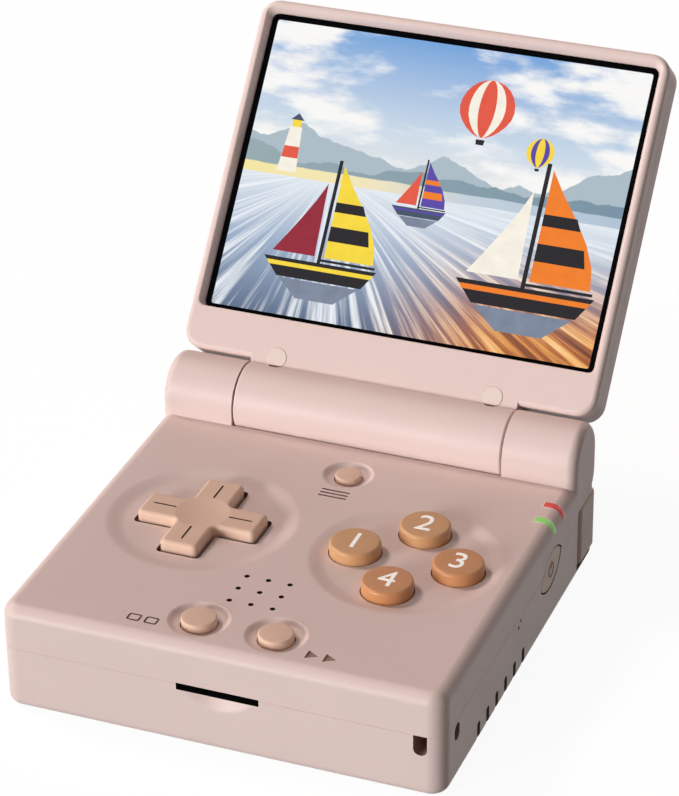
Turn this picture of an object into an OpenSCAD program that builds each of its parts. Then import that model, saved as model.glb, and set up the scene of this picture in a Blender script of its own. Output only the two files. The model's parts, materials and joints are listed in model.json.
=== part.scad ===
/* [Base] */
// Width of the base and of the lid
body_w = 66; // [62:0.5:76]
// Depth of the base, front face to rear face
body_d = 68; // [66:0.5:78]
// Height of the base's flat top above the table
base_h = 16.6; // [16.2:0.1:19]
// Height of the parting line between the two base shells
seam_z = 9.6; // [9.2:0.1:10.2]
// Radius of the upright corners of the base
corner_r = 2.6; // [1.8:0.1:4]
// Rounding of the top and bottom edges of the base
edge_r = 1.2; // [0.6:0.1:1.6]
// Wall of the base shells
wall = 1.5; // [1.2:0.1:1.8]

/* [Hinge and lid] */
// Radius of the hinge barrel and of the two knuckles beside it
barrel_r = 5.45; // [5:0.05:6]
// Half the length of the centre barrel that belongs to the lid
barrel_half = 21.4; // [19:0.1:23]
// Distance of the lid's inner face from the hinge axis
lid_face = 1.8; // [1.4:0.1:2.2]
// Gap between the closed lid and the base's top
lid_gap = 0.45; // [0.4:0.05:0.8]
// Lean of the open lid, from upright, in the stored pose
lid_lean = 40; // [20:1:55]
// Radius of the lid's corners
lid_corner_r = 3; // [2:0.1:4]
// Rounding of the lid's edges
lid_edge_r = 0.9; // [0.5:0.1:1.2]
// Height of the lid's parting line above the hinge axis when it is shut
lid_split = 1.6; // [1.4:0.1:2]
// Wall of the lid's rear cover
lid_wall = 1.35; // [1:0.05:1.6]
// Radius of the shaft of the hinge cartridge
shaft_r = 2; // [1.6:0.1:2.2]

/* [Display] */
// Width of the lid's rim on the left, the right
glass_rim = 1.75; // [1.7:0.05:4]
// Width of the lid's rim at the top
glass_top_rim = 2.45; // [2.2:0.05:5]
// Distance from the hinge axis to the glass's lower edge
glass_v = 12.5; // [12.2:0.1:13.5]
// Depth of the glass below the rim of the lid
glass_rec = 1.3; // [1.3:0.1:1.5]
// Thickness of the display glass
glass_t = 1; // [0.7:0.1:1]

/* [Direction pad and buttons] */
// Distance of the direction pad's centre from the left side
pad_side = 17.8; // [17:0.1:18.5]
// Direction pad's place on the base, front to back
pad_y = -2.8; // [-4:0.1:-2]
// Length of the direction pad, tip to tip
pad_len = 18.4; // [16:0.2:19]
// Width of an arm of the direction pad
pad_arm = 5.8; // [5:0.1:6.4]
// Height of the direction pad's top above the base
pad_rise = 1.2; // [0.8:0.1:1.2]
// Distance of the centre of the four face buttons from the right side
keys_side = 16.7; // [16:0.1:17.5]
// Centre of the four face buttons, front to back
keys_y = -3; // [-4:0.1:-2]
// Distance from that centre to each face button
keys_ring = 7.8; // [7.2:0.1:8.2]
// Diameter of a face button
key_d = 7.5; // [6.5:0.1:7.8]
// Height of a face button's top above the base
key_rise = 1.4; // [0.8:0.1:1.4]
// Travel of a face button
key_travel = 0.8; // [0.5:0.1:0.8]
// Radius of the shallow dish round the pad and round the face buttons
dish_r = 14; // [13:0.1:14.4]
// Depth of the shallow dishes
dish_depth = 0.45; // [0.2:0.05:0.5]
// Diameter of the select and start buttons
option_d = 5.1; // [4.4:0.1:5.4]
// Diameter of the menu button
menu_d = 3.9; // [3.8:0.1:4.8]
// Menu button's place, front to back
menu_y = 15.9; // [14:0.1:16.2]
// Distance of the select and start buttons from the base's front face
option_front = 6.8; // [5.9:0.1:7.1]
// Spacing of the select and start buttons
option_pitch = 11.5; // [11:0.1:13]
// Depth of the coned recess round each small button
cone_depth = 0.8; // [0.4:0.1:0.9]

/* [Sides] */
// Width of the memory card slot
slot_w = 12.3; // [11.6:0.1:13]
// Height of the memory card slot
slot_h = 1.1; // [0.9:0.1:1.3]
// Length of the leaf-shaped power button
power_len = 9.4; // [8:0.1:10]
// Height of the power button's centre above the table
power_z = 9.3; // [9:0.1:9.5]
// Power button's place, front to back
power_y = 12.4; // [11.5:0.1:13]
// Width of a rear corner button along the rear face
corner_btn_w = 13; // [12.4:0.1:13.1]
// Depth of a rear corner button along the side face
corner_btn_d = 8; // [7.4:0.1:8.2]
// Height of the rear buttons
rear_btn_h = 9.9; // [9:0.1:9.9]
// Width of an inner rear button
inner_btn_w = 9.4; // [8.6:0.1:9.6]
// Pitch of the six side vents
vent_pitch = 3.87; // [3.4:0.01:4]
// Width of a side vent
vent_w = 1.2; // [0.9:0.1:1.5]
// Pitch of the nine speaker holes
grille_pitch = 3.26; // [2.6:0.02:3.4]
// Diameter of a speaker hole
grille_d = 0.8; // [0.6:0.05:1]
// Distance from one light window to the next
led_pitch = 4.3; // [3.4:0.1:4.6]

/* [Inside] */
// Thickness of the main board
board_t = 1; // [0.8:0.1:1.2]
// Length of the battery, left to right
battery_w = 38; // [30:1:40]
// Width of the battery, front to back
battery_d = 32; // [26:1:34]
// Thickness of the battery
battery_t = 5.6; // [4.5:0.1:6]
// Radius of the speaker
speaker_r = 6.5; // [5.5:0.1:6.6]
// Shank radius of the case screws
screw_r = 0.95; // [0.8:0.05:1]

/* [Hidden] */
$fn = 48;
eps = 0.01;
hull_fn = 32;
half_w = body_w / 2;
half_d = body_d / 2;
front_y = -half_d;
rear_y = half_d;
hinge_y = rear_y - barrel_r;
hinge_z = base_h + lid_gap + lid_face;
lid_len = hinge_y + half_d;
trough_r = barrel_r + 0.3;
knuckle_x = barrel_half + 0.15;
bore_wall = 2;
bush_reach = 4;
bush_lap = 1;
bush_in = 0.1;
bush_end = 0.2;
bush_wall = 0.5;
bush_floor = 1.5;
bush_bore = 1.4;
wing_v = barrel_r + 0.4;
fit_gap = 0.05;
key_gap = 0.15;
seat_gap = 0.3;

// Heights of the pieces stacked in the base
ceiling = base_h - 1.6;
board_top = ceiling - 3.8;
board_z = board_top - board_t;
board_half = half_w - wall - 2.1;
board_back = rear_y - corner_btn_d - 2.7;
boss_z = board_top + 0.15;
boss_r = 2.3;
post_r = 2.9;
post_z = 0.2;
screw_top = board_top + 0.9;
head_r = 1.8;
flange_t = 1.1;
flange_top = ceiling - seat_gap;
flange_z = flange_top - flange_t;
membrane_t = flange_z - board_top - key_travel - seat_gap;
switch_side = 6;
side_switch_w = 3.2;
side_switch_h = 1.9;
side_switch_half = 2;
board_rim = 0.2;
shelf_z = board_top + 0.6;
battery_z = wall + 0.2;
battery_y = board_back - battery_d / 2 - 4;
battery_gap = 0.6;
battery_x = board_half - board_rim - side_switch_w - battery_gap - battery_w / 2;

// Direction pad
pad_x = pad_side - half_w;
pad_top = base_h + pad_rise;
pad_gap = 0.38;
pad_hollow_r = 24;
pad_flange_r = pad_len / 2 + 0.9;
pad_flange_t = 0.8;
pad_flange_z = ceiling - 0.8 - pad_flange_t;

// Round buttons
keys_x = half_w - keys_side;
key_r = key_d / 2;
key_top = base_h + key_rise;
option_y = front_y + option_front;
option_x = 0.4;
option_top = base_h + 0.45;
menu_x = 0.2;
menu_top = base_h + 0.1;
small_lip = 0.7;
cone_w = 1.45;
switch_h = flange_z - board_top - 0.8;
speaker_t = 2.6;

// Shoulder region
corner_x = half_w - 0.3;
corner_in = corner_x - corner_btn_w;
corner_y = rear_y + 0.3;
corner_front = corner_y - corner_btn_d;
rear_btn_z = 1.3;
rear_btn_top = rear_btn_z + rear_btn_h;
btn_t = 1.7;
pivot_x = corner_in + 2;
pivot_y = rear_y - 3.2;
pin_r = 0.75;
pocket_front = corner_front - 1.2;
pocket_in = corner_in - 0.3;
pocket_top = rear_btn_top + 0.4;
pin_top = pocket_top + 1;
inner_out = pocket_in - 1.5;
inner_in = inner_out - inner_btn_w;
inner_z = rear_btn_z + 1.3;
inner_h = rear_btn_h - 2.6;

// Front and sides
slot_z = board_z - slot_h / 2 - 0.05;
socket_h = 1.7;
socket_len = 15;
scoop_r = 5.4;
scoop_drop = 2.8;
scoop_out = 11.2;
grille_y = front_y + 15.85;
led_y = power_y + 1.2;
led_w = 1.3;
led_in = half_w - 3;
led_low = base_h - 1.75;
lanyard_x = half_w - 4.4;
lanyard_w = 2;
lanyard_z = 6.7;
lanyard_h = 2.7;
lanyard_y = front_y + 4.4;
power_rise = 2.7;
power_turn = 14;
volume_y = [6.5, 13];
volume_z = board_top + 1.3;
front_screw = [half_w - 8.5, front_y + 5.5];
rear_screw = [inner_in + inner_btn_w / 2, rear_y - 6.6];
jack_half = 3;
jack_h = 5;
jack_space = 4.6;
jack_y = front_screw[1] + post_r + jack_space + jack_half;
jack_len = 12;
jack_in = 0.2;
jack_r = 1.8;
jack_z = board_z - jack_h / 2;
usb_w = 8.94;
usb_h = 3.26;
usb_z = board_z - usb_h / 2;
vent_y0 = -0.2;
vent_top = 3.6;

// Lid, measured from the hinge axis with the lid shut
rim_z = -lid_face;
outer_z = barrel_r;
glass_w = body_w - 2 * glass_rim;
glass_h = lid_len - glass_v - glass_top_rim;
glass_z = rim_z + glass_rec;
cover_in = outer_z - lid_wall;
chin_v = glass_v - 0.9;
bumper_x = 17.3;
bumper_v = 6.35;
bumper_r = 1.6;
magnet_side = 6;
magnet_x = half_w - magnet_side;

// A round post with a rounding of radius e at both ends
module puck(r, h, e) {
    rotate_extrude($fn = hull_fn)
        polygon(concat([[0, 0]],
            [for (a = [0:15:90]) [r - e + e * sin(a), e - e * cos(a)]],
            [for (a = [0:15:90]) [r - e + e * cos(a), h - e + e * sin(a)]],
            [[0, h]]));
}

// A block with upright corners of radius r and edges of radius e
module soft_block(x0, x1, y0, y1, z0, z1, r, e) {
    hull()
        for (x = [x0 + r, x1 - r], y = [y0 + r, y1 - r])
            translate([x, y, z0])
                puck(r, z1 - z0, e);
}

module block(x0, x1, y0, y1, z0, z1) {
    translate([x0, y0, z0])
        cube([x1 - x0, y1 - y0, z1 - z0]);
}

module along_x(x0, x1, r) {
    translate([x0, 0, 0])
        rotate([0, 90, 0])
            cylinder(r = r, h = x1 - x0);
}

module base_form() {
    soft_block(-half_w, half_w, front_y, rear_y, 0, base_h, corner_r, edge_r);
}

module at_hinge() {
    translate([0, hinge_y, hinge_z])
        children();
}

module lid_pose() {
    at_hinge()
        rotate([-(90 + lid_lean), 0, 0])
            children();
}

module both_sides() {
    children();
    mirror([1, 0, 0])
        children();
}

// Places of the four face buttons: top, left, right, bottom
function key_at(i) = [[0, keys_ring], [-keys_ring, 0], [keys_ring, 0], [0, -keys_ring]][i];

module place_key(i) {
    translate([keys_x + key_at(i)[0], keys_y + key_at(i)[1], 0])
        children();
}

module front_screw_places() {
    for (s = [-1, 1])
        translate([s * front_screw[0], front_screw[1], 0])
            children();
}

module rear_screw_places() {
    for (s = [-1, 1])
        translate([s * rear_screw[0], rear_screw[1], 0])
            children();
}

module screw_places() {
    front_screw_places()
        children();
    rear_screw_places()
        children();
}

// Outline of the direction pad, grown by g
module pad_outline(g) {
    for (turn = [0, 90])
        rotate(turn)
            square([pad_len + 2 * g, pad_arm + 2 * g], center = true);
}

module shallow_dish(x, y) {
    translate([x, y, base_h])
        rotate_extrude($fn = 96)
            polygon([[0, 1], [dish_r, 1], [dish_r, 0], [dish_r - 0.8, -0.12 * dish_depth],
                [dish_r - 1.6, -0.5 * dish_depth], [dish_r - 2.4, -0.88 * dish_depth],
                [dish_r - 3.2, -dish_depth], [0, -dish_depth]]);
}

module coned_recess(x, y, r) {
    translate([x, y, base_h - cone_depth])
        cylinder(r1 = r + 0.4, r2 = r + 0.4 + cone_w, h = cone_depth + eps);
    translate([x, y, ceiling - 1])
        cylinder(r = r + key_gap, h = 3);
}

// Two arcs that meet in a point at each end, grown by g, in the plane of a side wall
module leaf(g) {
    half = power_len / 2 + g;
    rise = power_rise + g;
    r = (half * half + rise * rise) / (2 * rise);
    rotate([0, 0, power_turn])
        intersection() {
            translate([0, r - rise])
                circle(r = r, $fn = 96);
            translate([0, rise - r])
                circle(r = r, $fn = 96);
        }
}

module on_right_wall(y, z) {
    translate([0, y, z])
        rotate([90, 0, 90])
            children();
}

module corner_pocket() {
    block(pocket_in, half_w + 1, pocket_front, rear_y + 1, rear_btn_z - 0.3, pocket_top);
}

module inner_pocket() {
    block(inner_in - 0.25, inner_out + 0.25, rear_y - wall - 1, rear_y + 1,
        inner_z - 0.25, inner_z + inner_h + 0.25);
}

module usb_hole() {
    translate([0, rear_y + 1, usb_z])
        rotate([90, 0, 0])
            linear_extrude(10)
                hull()
                    for (s = [-1, 1])
                        translate([s * (usb_w - usb_h) / 2, 0])
                            circle(r = usb_h / 2 + key_gap);
}

// The card slot, with a shallow finger scoop under it that deepens towards the slot
module card_slot() {
    block(-slot_w / 2, slot_w / 2, front_y - 1, front_y + wall + 1,
        slot_z - slot_h / 2, slot_z + slot_h / 2);
    intersection() {
        block(-slot_w, slot_w, front_y - 1, front_y + wall, slot_z - scoop_drop - 1, slot_z);
        translate([0, front_y - scoop_out, slot_z - scoop_drop + scoop_r])
            sphere(r = sqrt(scoop_r * scoop_r + scoop_out * scoop_out), $fn = 96);
    }
}

module lanyard_tunnel() {
    block(lanyard_x, lanyard_x + lanyard_w, front_y - 1, lanyard_y + lanyard_w,
        lanyard_z, lanyard_z + lanyard_h);
    block(lanyard_x, half_w + 1, lanyard_y, lanyard_y + lanyard_w,
        lanyard_z, lanyard_z + lanyard_h);
}

module side_vents() {
    for (i = [0:5])
        block(half_w - 3, half_w + 1, vent_y0 - i * vent_pitch - vent_w / 2,
            vent_y0 - i * vent_pitch + vent_w / 2, -1, vent_top);
}

module volume_hole(y, g) {
    block(-half_w - 1, -half_w + wall + 1, y - 2.6 - g, y + 2.6 + g,
        volume_z - 1.1 - g, volume_z + 1.1 + g);
}

// One knuckle: a round bar on the hinge axis that stands on the base
module knuckle() {
    len = half_w - knuckle_x;
    hull()
        for (z = [base_h - 2.5, hinge_z])
            translate([knuckle_x, hinge_y, z])
                rotate([0, 90, 0])
                    rotate_extrude($fn = 64)
                        polygon(concat([[0, 0], [barrel_r, 0]],
                            [for (a = [0:15:90])
                                [barrel_r - edge_r + edge_r * cos(a), len - edge_r + edge_r * sin(a)]],
                            [[0, len]]));
}

module led_slot(i, g) {
    block(led_in - g, half_w + 1, led_y + i * led_pitch - led_w / 2 - g,
        led_y + i * led_pitch + led_w / 2 + g, led_low - g, base_h + 1);
}

module base_upper_shell() {
    color("#d8b8ac")
        difference() {
            union() {
                difference() {
                    intersection() {
                        union() {
                            base_form();
                            both_sides()
                                knuckle();
                        }
                        block(-body_w, body_w, -body_d, body_d, seam_z, hinge_z + 2 * barrel_r);
                    }
                    block(-half_w + wall, half_w - wall, front_y + wall, board_back + 0.3,
                        seam_z - 1, ceiling);
                    block(-inner_out - 0.7, inner_out + 0.7, board_back - 0.6, rear_y - wall,
                        seam_z - 1, shelf_z);
                }
                front_screw_places()
                    translate([0, 0, boss_z])
                        cylinder(r = boss_r, h = ceiling + 0.4 - boss_z);
                rear_screw_places()
                    translate([0, 0, boss_z])
                        cylinder(r = boss_r, h = shelf_z + 0.3 - boss_z);
            }
            screw_places()
                translate([0, 0, boss_z - 1])
                    cylinder(r = screw_r + fit_gap, h = screw_top + 0.2 - boss_z + 1);
            both_sides()
                corner_pocket();
            both_sides()
                inner_pocket();
            both_sides()
                translate([pivot_x, pivot_y, pocket_top - 1])
                    cylinder(r = pin_r + fit_gap, h = pin_top - pocket_top + 1.2);
            at_hinge()
                along_x(-knuckle_x, knuckle_x, trough_r);
            block(-knuckle_x, knuckle_x, hinge_y + 1, rear_y + 1, hinge_z - trough_r, hinge_z + 9);
            block(-knuckle_x, knuckle_x, hinge_y - trough_r, rear_y + 1, hinge_z - 1, hinge_z + 9);
            at_hinge()
                both_sides()
                    along_x(knuckle_x - 1, half_w - wall, barrel_r - bore_wall);
            shallow_dish(pad_x, pad_y);
            shallow_dish(keys_x, keys_y);
            translate([pad_x, pad_y, ceiling - 1])
                linear_extrude(4)
                    pad_outline(pad_gap);
            for (i = [0:3])
                place_key(i)
                    translate([0, 0, ceiling - 1])
                        cylinder(r = key_r + key_gap, h = 4);
            coned_recess(menu_x, menu_y, menu_d / 2);
            for (s = [-1, 1])
                coned_recess(option_x + s * option_pitch / 2, option_y, option_d / 2);
            for (i = [-1:1], j = [-1:1])
                translate([i * grille_pitch, grille_y + j * grille_pitch, ceiling - 1])
                    cylinder(r = grille_d / 2, h = 4);
            for (i = [0, 1])
                led_slot(i, fit_gap);
            on_right_wall(power_y, power_z)
                linear_extrude(body_w)
                    leaf(key_gap);
            for (y = volume_y)
                volume_hole(y, key_gap);
            usb_hole();
            card_slot();
        }
}

module base_lower_shell() {
    color("#d3b2a6")
        difference() {
            union() {
                difference() {
                    intersection() {
                        base_form();
                        block(-body_w, body_w, -body_d, body_d, -1, seam_z);
                    }
                    block(-half_w + wall, half_w - wall, front_y + wall, rear_y - wall,
                        wall, seam_z + 1);
                }
                screw_places()
                    translate([0, 0, post_z])
                        cylinder(r = post_r, h = board_z - seat_gap - post_z);
                block(lanyard_x - 1, half_w - 1, front_y + 1, lanyard_y + lanyard_w + 1,
                    1, seam_z);
            }
            lanyard_tunnel();
            side_vents();
            both_sides()
                corner_pocket();
            both_sides()
                inner_pocket();
            both_sides()
                translate([pivot_x, pivot_y, 0.5])
                    cylinder(r = pin_r + fit_gap, h = 2);
            screw_places()
                translate([0, 0, -1])
                    cylinder(r = head_r + 0.25, h = 3);
            screw_places()
                cylinder(r = screw_r + 0.15, h = seam_z + 2);
            on_right_wall(power_y, power_z)
                linear_extrude(body_w)
                    leaf(key_gap);
            for (d = [[0, 0], [-0.86, -0.75]])
                translate([half_w - 3, -1.5 + d[0], 9.1 + d[1]])
                    rotate([0, 90, 0])
                        cylinder(r = 0.3, h = 4);
            translate([-half_w - 1, jack_y, jack_z])
                rotate([0, 90, 0])
                    cylinder(r = jack_r, h = 4);
            usb_hole();
            card_slot();
        }
}

module base_screws() {
    color("#8f8f93")
        screw_places()
            difference() {
                union() {
                    translate([0, 0, 0.7])
                        cylinder(r = head_r, h = 1.25);
                    translate([0, 0, 1.9])
                        cylinder(r = screw_r, h = screw_top - 1.9);
                }
                for (a = [0, 90])
                    rotate(a)
                        block(-1, 1, -0.22, 0.22, 0, 1.3);
            }
}

module main_board() {
    color("#2f6b45")
        difference() {
            union() {
                block(-board_half, board_half, front_y + wall + 0.6, board_back, board_z, board_top);
                block(-inner_in + 1.2, inner_in - 1.2, board_back - 1, rear_y - wall - 1,
                    board_z, board_top);
            }
            screw_places()
                translate([0, 0, board_z - 1])
                    cylinder(r = 2.7, h = board_t + 2);
        }
}

module battery_pack() {
    color("#a9adb5")
        block(battery_x - battery_w / 2, battery_x + battery_w / 2, battery_y - battery_d / 2,
            battery_y + battery_d / 2, battery_z, battery_z + battery_t);
}

module speaker() {
    color("#3b3b40")
        translate([0, grille_y, ceiling - seat_gap - speaker_t])
            union() {
                cylinder(r = speaker_r, h = speaker_t);
                translate([0, 0, -0.5])
                    cylinder(r = speaker_r - 2, h = 0.6);
            }
}

module card_socket() {
    color("#b9bcc2")
        difference() {
            block(-slot_w / 2 - 1, slot_w / 2 + 1, front_y + wall + 0.4, front_y + wall + socket_len,
                board_z - socket_h - 0.05, board_z - 0.05);
            block(-slot_w / 2 + 0.5, slot_w / 2 - 0.5, front_y, front_y + wall + socket_len - 1.5,
                slot_z - slot_h / 2 + 0.1, slot_z + slot_h / 2 - 0.1);
        }
}

module usb_port() {
    color("#c4c6ca")
        translate([0, rear_y - 0.3, usb_z - 0.02])
            rotate([90, 0, 0])
                linear_extrude(7)
                    difference() {
                        stadium(usb_w, usb_h);
                        stadium(usb_w - 0.6, usb_h - 0.6);
                    }
    color("#26262a")
        translate([0, rear_y - 1, usb_z - 0.02])
            rotate([90, 0, 0])
                linear_extrude(6.3)
                    square([usb_w - 2.4, 0.8], center = true);
    color("#c4c6ca")
        translate([0, rear_y - 6.8, usb_z - 0.02])
            rotate([90, 0, 0])
                linear_extrude(0.5)
                    stadium(usb_w, usb_h);
}

module stadium(w, h) {
    square([w - h, h], center = true);
    for (s = [-1, 1])
        translate([s * (w - h) / 2, 0])
            circle(r = h / 2);
}

module headphone_jack() {
    color("#2b2b2f")
        difference() {
            block(-half_w + wall + jack_in, -half_w + wall + jack_len, jack_y - jack_half,
                jack_y + jack_half, board_z - fit_gap - jack_h, board_z - fit_gap);
            translate([-half_w, jack_y, jack_z])
                rotate([0, 90, 0])
                    cylinder(r = jack_r, h = jack_len);
        }
}

module led_window(i) {
    intersection() {
        base_form();
        led_slot(i, 0);
    }
}

module led_window_green() {
    color("#7ccd60")
        led_window(0);
}

module led_window_red() {
    color("#d14541")
        led_window(1);
}

module hinge_cartridge() {
    color("#9a9ba0")
        at_hinge()
            mirror([1, 0, 0]) {
                along_x(knuckle_x + bush_in, half_w - wall - bush_end, barrel_r - bore_wall - fit_gap);
                along_x(knuckle_x - bush_reach, knuckle_x + bush_lap, shaft_r);
            }
}

module hinge_bush() {
    color("#5b5b60")
        at_hinge()
            difference() {
                union() {
                    along_x(knuckle_x + bush_in, half_w - wall - bush_end, barrel_r - bore_wall - fit_gap);
                    along_x(knuckle_x - bush_reach, knuckle_x + bush_lap, shaft_r + bush_wall);
                }
                along_x(knuckle_x - bush_reach - 1, half_w - wall - bush_floor, bush_bore);
            }
}

module pad_membrane() {
    color("#e3e3df")
        translate([pad_x, pad_y, board_top])
            difference() {
                linear_extrude(membrane_t)
                    pad_outline(-0.6);
                translate([0, 0, -1])
                    cylinder(r = 1.9, h = membrane_t + 2);
            }
}

module key_membrane() {
    color("#e3e3df") {
        for (i = [0:3])
            place_key(i)
                translate([0, 0, board_top])
                    cylinder(r = key_r - 0.3, h = membrane_t);
        translate([keys_x, keys_y, board_top])
            for (a = [45, 135])
                rotate(a)
                    block(-keys_ring * 0.71 - 1, keys_ring * 0.71 + 1, -keys_ring * 0.71 - 1,
                        keys_ring * 0.71 + 1, 0, 0.5);
    }
}

module small_switch(x, y) {
    translate([x, y, board_top])
        union() {
            translate([0, 0, (switch_h - 0.4) / 2])
                cube([3.4, 3.4, switch_h - 0.4], center = true);
            cylinder(r = 0.9, h = switch_h);
        }
}

module small_switches() {
    color("#44464c") {
        small_switch(menu_x, menu_y);
        small_switch(option_x - option_pitch / 2, option_y);
        small_switch(option_x + option_pitch / 2, option_y);
    }
}

module side_switch(y, z) {
    block(board_half - board_rim - side_switch_w, board_half - board_rim, y - side_switch_half,
        y + side_switch_half, z, z + side_switch_h);
}

module side_switches() {
    color("#44464c") {
        side_switch(power_y, board_z - side_switch_h);
        for (y = volume_y)
            mirror([1, 0, 0])
                side_switch(y, board_top);
    }
}

module rear_switch(x) {
    block(x - 1.8, x + 1.8, board_back - 3.2, board_back, board_z - 1.9, board_z);
}

module shoulder_switches() {
    color("#44464c")
        for (s = [-1, 1]) {
            rear_switch(s * (corner_x - switch_side));
            rear_switch(s * rear_screw[0]);
        }
}

module hall_sensor() {
    color("#222226")
        block(magnet_x - 1.5, magnet_x + 1.5, board_back - 4, board_back - 1.5,
            board_top, board_top + 1);
}

module shoulder_pins() {
    color("#b7b9bd")
        both_sides()
            translate([pivot_x, pivot_y, 0.6])
                cylinder(r = pin_r, h = pin_top - 0.6);
}

module pad_pivot() {
    color("#d9d9d4")
        translate([pad_x, pad_y, board_top + 0.2])
            cylinder(r = 1.3, h = pad_flange_z - board_top - 0.5);
}

// The cross: arms rise a little towards their tips, with one engraved line on each
module direction_pad() {
    color("#c8a68d")
        translate([pad_x, pad_y, 0]) {
            difference() {
                union()
                    for (turn = [0, 90])
                        rotate(turn)
                            soft_block(-pad_len / 2, pad_len / 2, -pad_arm / 2, pad_arm / 2,
                                pad_flange_z, pad_top, 0.9, 0.5);
                translate([0, 0, pad_top + pad_hollow_r - 0.35])
                    sphere(r = pad_hollow_r, $fn = 96);
                for (turn = [0:90:270])
                    rotate(turn)
                        block(pad_len / 2 - 4.4, pad_len / 2 - 1.6, -0.2, 0.2,
                            pad_top - 0.25, pad_top + 1);
            }
            translate([0, 0, pad_flange_z])
                cylinder(r = pad_flange_r, h = pad_flange_t, $fn = 64);
        }
}

// A round button: a domed cap over a flange that keeps it in the shell
module round_button(r, top, lip) {
    translate([0, 0, flange_z])
        cylinder(r = r + lip, h = flange_t);
    translate([0, 0, flange_z])
        rotate_extrude()
            polygon(concat([[0, 0], [r, 0]],
                [for (a = [0:15:90]) [r - 0.7 + 0.7 * cos(a), top - flange_z - 0.85 + 0.7 * sin(a)]],
                [[r * 0.5, top - flange_z - 0.05], [0, top - flange_z]]));
}

module face_button(i) {
    color("#c49165")
        place_key(i)
            round_button(key_r, key_top, 0.8);
}

module face_button_top() {
    face_button(0);
}

module face_button_left() {
    face_button(1);
}

module face_button_right() {
    face_button(2);
}

module face_button_bottom() {
    face_button(3);
}

module menu_button() {
    color("#c8a68d")
        translate([menu_x, menu_y, 0])
            round_button(menu_d / 2, menu_top, small_lip);
}

module select_button() {
    color("#c8a68d")
        translate([option_x - option_pitch / 2, option_y, 0])
            round_button(option_d / 2, option_top, small_lip);
}

module start_button() {
    color("#c8a68d")
        translate([option_x + option_pitch / 2, option_y, 0])
            round_button(option_d / 2, option_top, small_lip);
}

module power_button() {
    color("#b79c8c") {
        on_right_wall(power_y, power_z)
            translate([0, 0, half_w - wall - 0.5])
                linear_extrude(wall + 0.55)
                    leaf(0);
        block(half_w - wall - 1.2, half_w - wall - 0.3, power_y - power_len / 2 - 0.4,
            power_y + power_len / 2 + 0.4, power_z - 3.3, power_z + 3.3);
    }
}

module volume_button(y) {
    color("#c8a68d") {
        block(-half_w - 0.25, -half_w + wall + 0.4, y - 2.6, y + 2.6, volume_z - 1.1, volume_z + 1.1);
        block(-half_w + wall + 0.3, -half_w + wall + 1.2, y - 3, y + 3,
            volume_z - 1.3, volume_z + 1.8);
    }
}

module volume_up_button() {
    volume_button(volume_y[1]);
}

module volume_down_button() {
    volume_button(volume_y[0]);
}

// Rear corner button: a bent plate that turns on an upright pin at its inner end
module shoulder_button() {
    color("#b79a86")
        difference() {
            union() {
                difference() {
                    soft_block(corner_in, corner_x, corner_front, corner_y, rear_btn_z,
                        rear_btn_top, 1.6, 0.9);
                    block(corner_in - 1, corner_x - btn_t, corner_front - 1, corner_y - btn_t,
                        rear_btn_z - 1, rear_btn_top + 1);
                }
                translate([pivot_x, pivot_y, rear_btn_z])
                    cylinder(r = pin_r + 0.95, h = rear_btn_h);
                block(pivot_x - 0.8, pivot_x + 0.8, pivot_y, corner_y - btn_t + 0.2,
                    rear_btn_z + 0.9, rear_btn_top - 0.9);
            }
            translate([pivot_x, pivot_y, 0])
                cylinder(r = pin_r + fit_gap, h = 20);
        }
}

module shoulder_button_right() {
    shoulder_button();
}

module shoulder_button_left() {
    mirror([1, 0, 0])
        shoulder_button();
}

module inner_trigger() {
    color("#b79a86") {
        block(inner_in, inner_out, rear_y - wall - 0.5, rear_y + 0.4, inner_z, inner_z + inner_h);
        block(inner_in - 0.6, inner_out + 0.5, rear_y - wall - 1.3, rear_y - wall - 0.3,
            inner_z - 0.6, inner_z + inner_h + 0.4);
    }
}

module inner_trigger_right() {
    inner_trigger();
}

module inner_trigger_left() {
    mirror([1, 0, 0])
        inner_trigger();
}

module lid_form() {
    soft_block(-half_w, half_w, -lid_len, -wing_v, rim_z, outer_z, lid_corner_r, lid_edge_r);
}

module lid_barrel() {
    along_x(-barrel_half, barrel_half, barrel_r);
    block(-barrel_half, barrel_half, -wing_v - 2, 0, rim_z, outer_z);
}

module bumper_places() {
    for (s = [-1, 1])
        translate([s * bumper_x, -bumper_v, 0])
            children();
}

module lid_front_frame() {
    color("#e0cabf")
        lid_pose()
            difference() {
                union() {
                    intersection() {
                        lid_form();
                        block(-body_w, body_w, -body_d, 0, rim_z - 1, lid_split);
                    }
                    lid_barrel();
                }
                block(-glass_w / 2, glass_w / 2, -glass_v - glass_h, -glass_v, rim_z - 1, outer_z);
                block(-half_w + 2.5, half_w - 2.5, -chin_v, -wing_v - 1.6, rim_z + 1.4, lid_split + 1);
                along_x(-barrel_half - 1, -barrel_half + 4, shaft_r + fit_gap);
                along_x(barrel_half - 4, barrel_half + 1, shaft_r + 0.5 + fit_gap);
                along_x(8, barrel_half, 1.5);
                block(8, 11, -wing_v - 2, 0, rim_z + 1.5, 1.2);
                bumper_places()
                    translate([0, 0, rim_z - 1])
                        cylinder(r = bumper_r + fit_gap, h = 1.75);
                bumper_places()
                    translate([0, 0, rim_z])
                        cylinder(r = 1.35, h = 1.7);
                bumper_places()
                    translate([0, 0, rim_z])
                        cylinder(r = 0.75, h = 5);
                translate([magnet_x, -wing_v - 2.4, rim_z + 0.6])
                    cylinder(r = 1.55, h = 5);
            }
}

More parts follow.
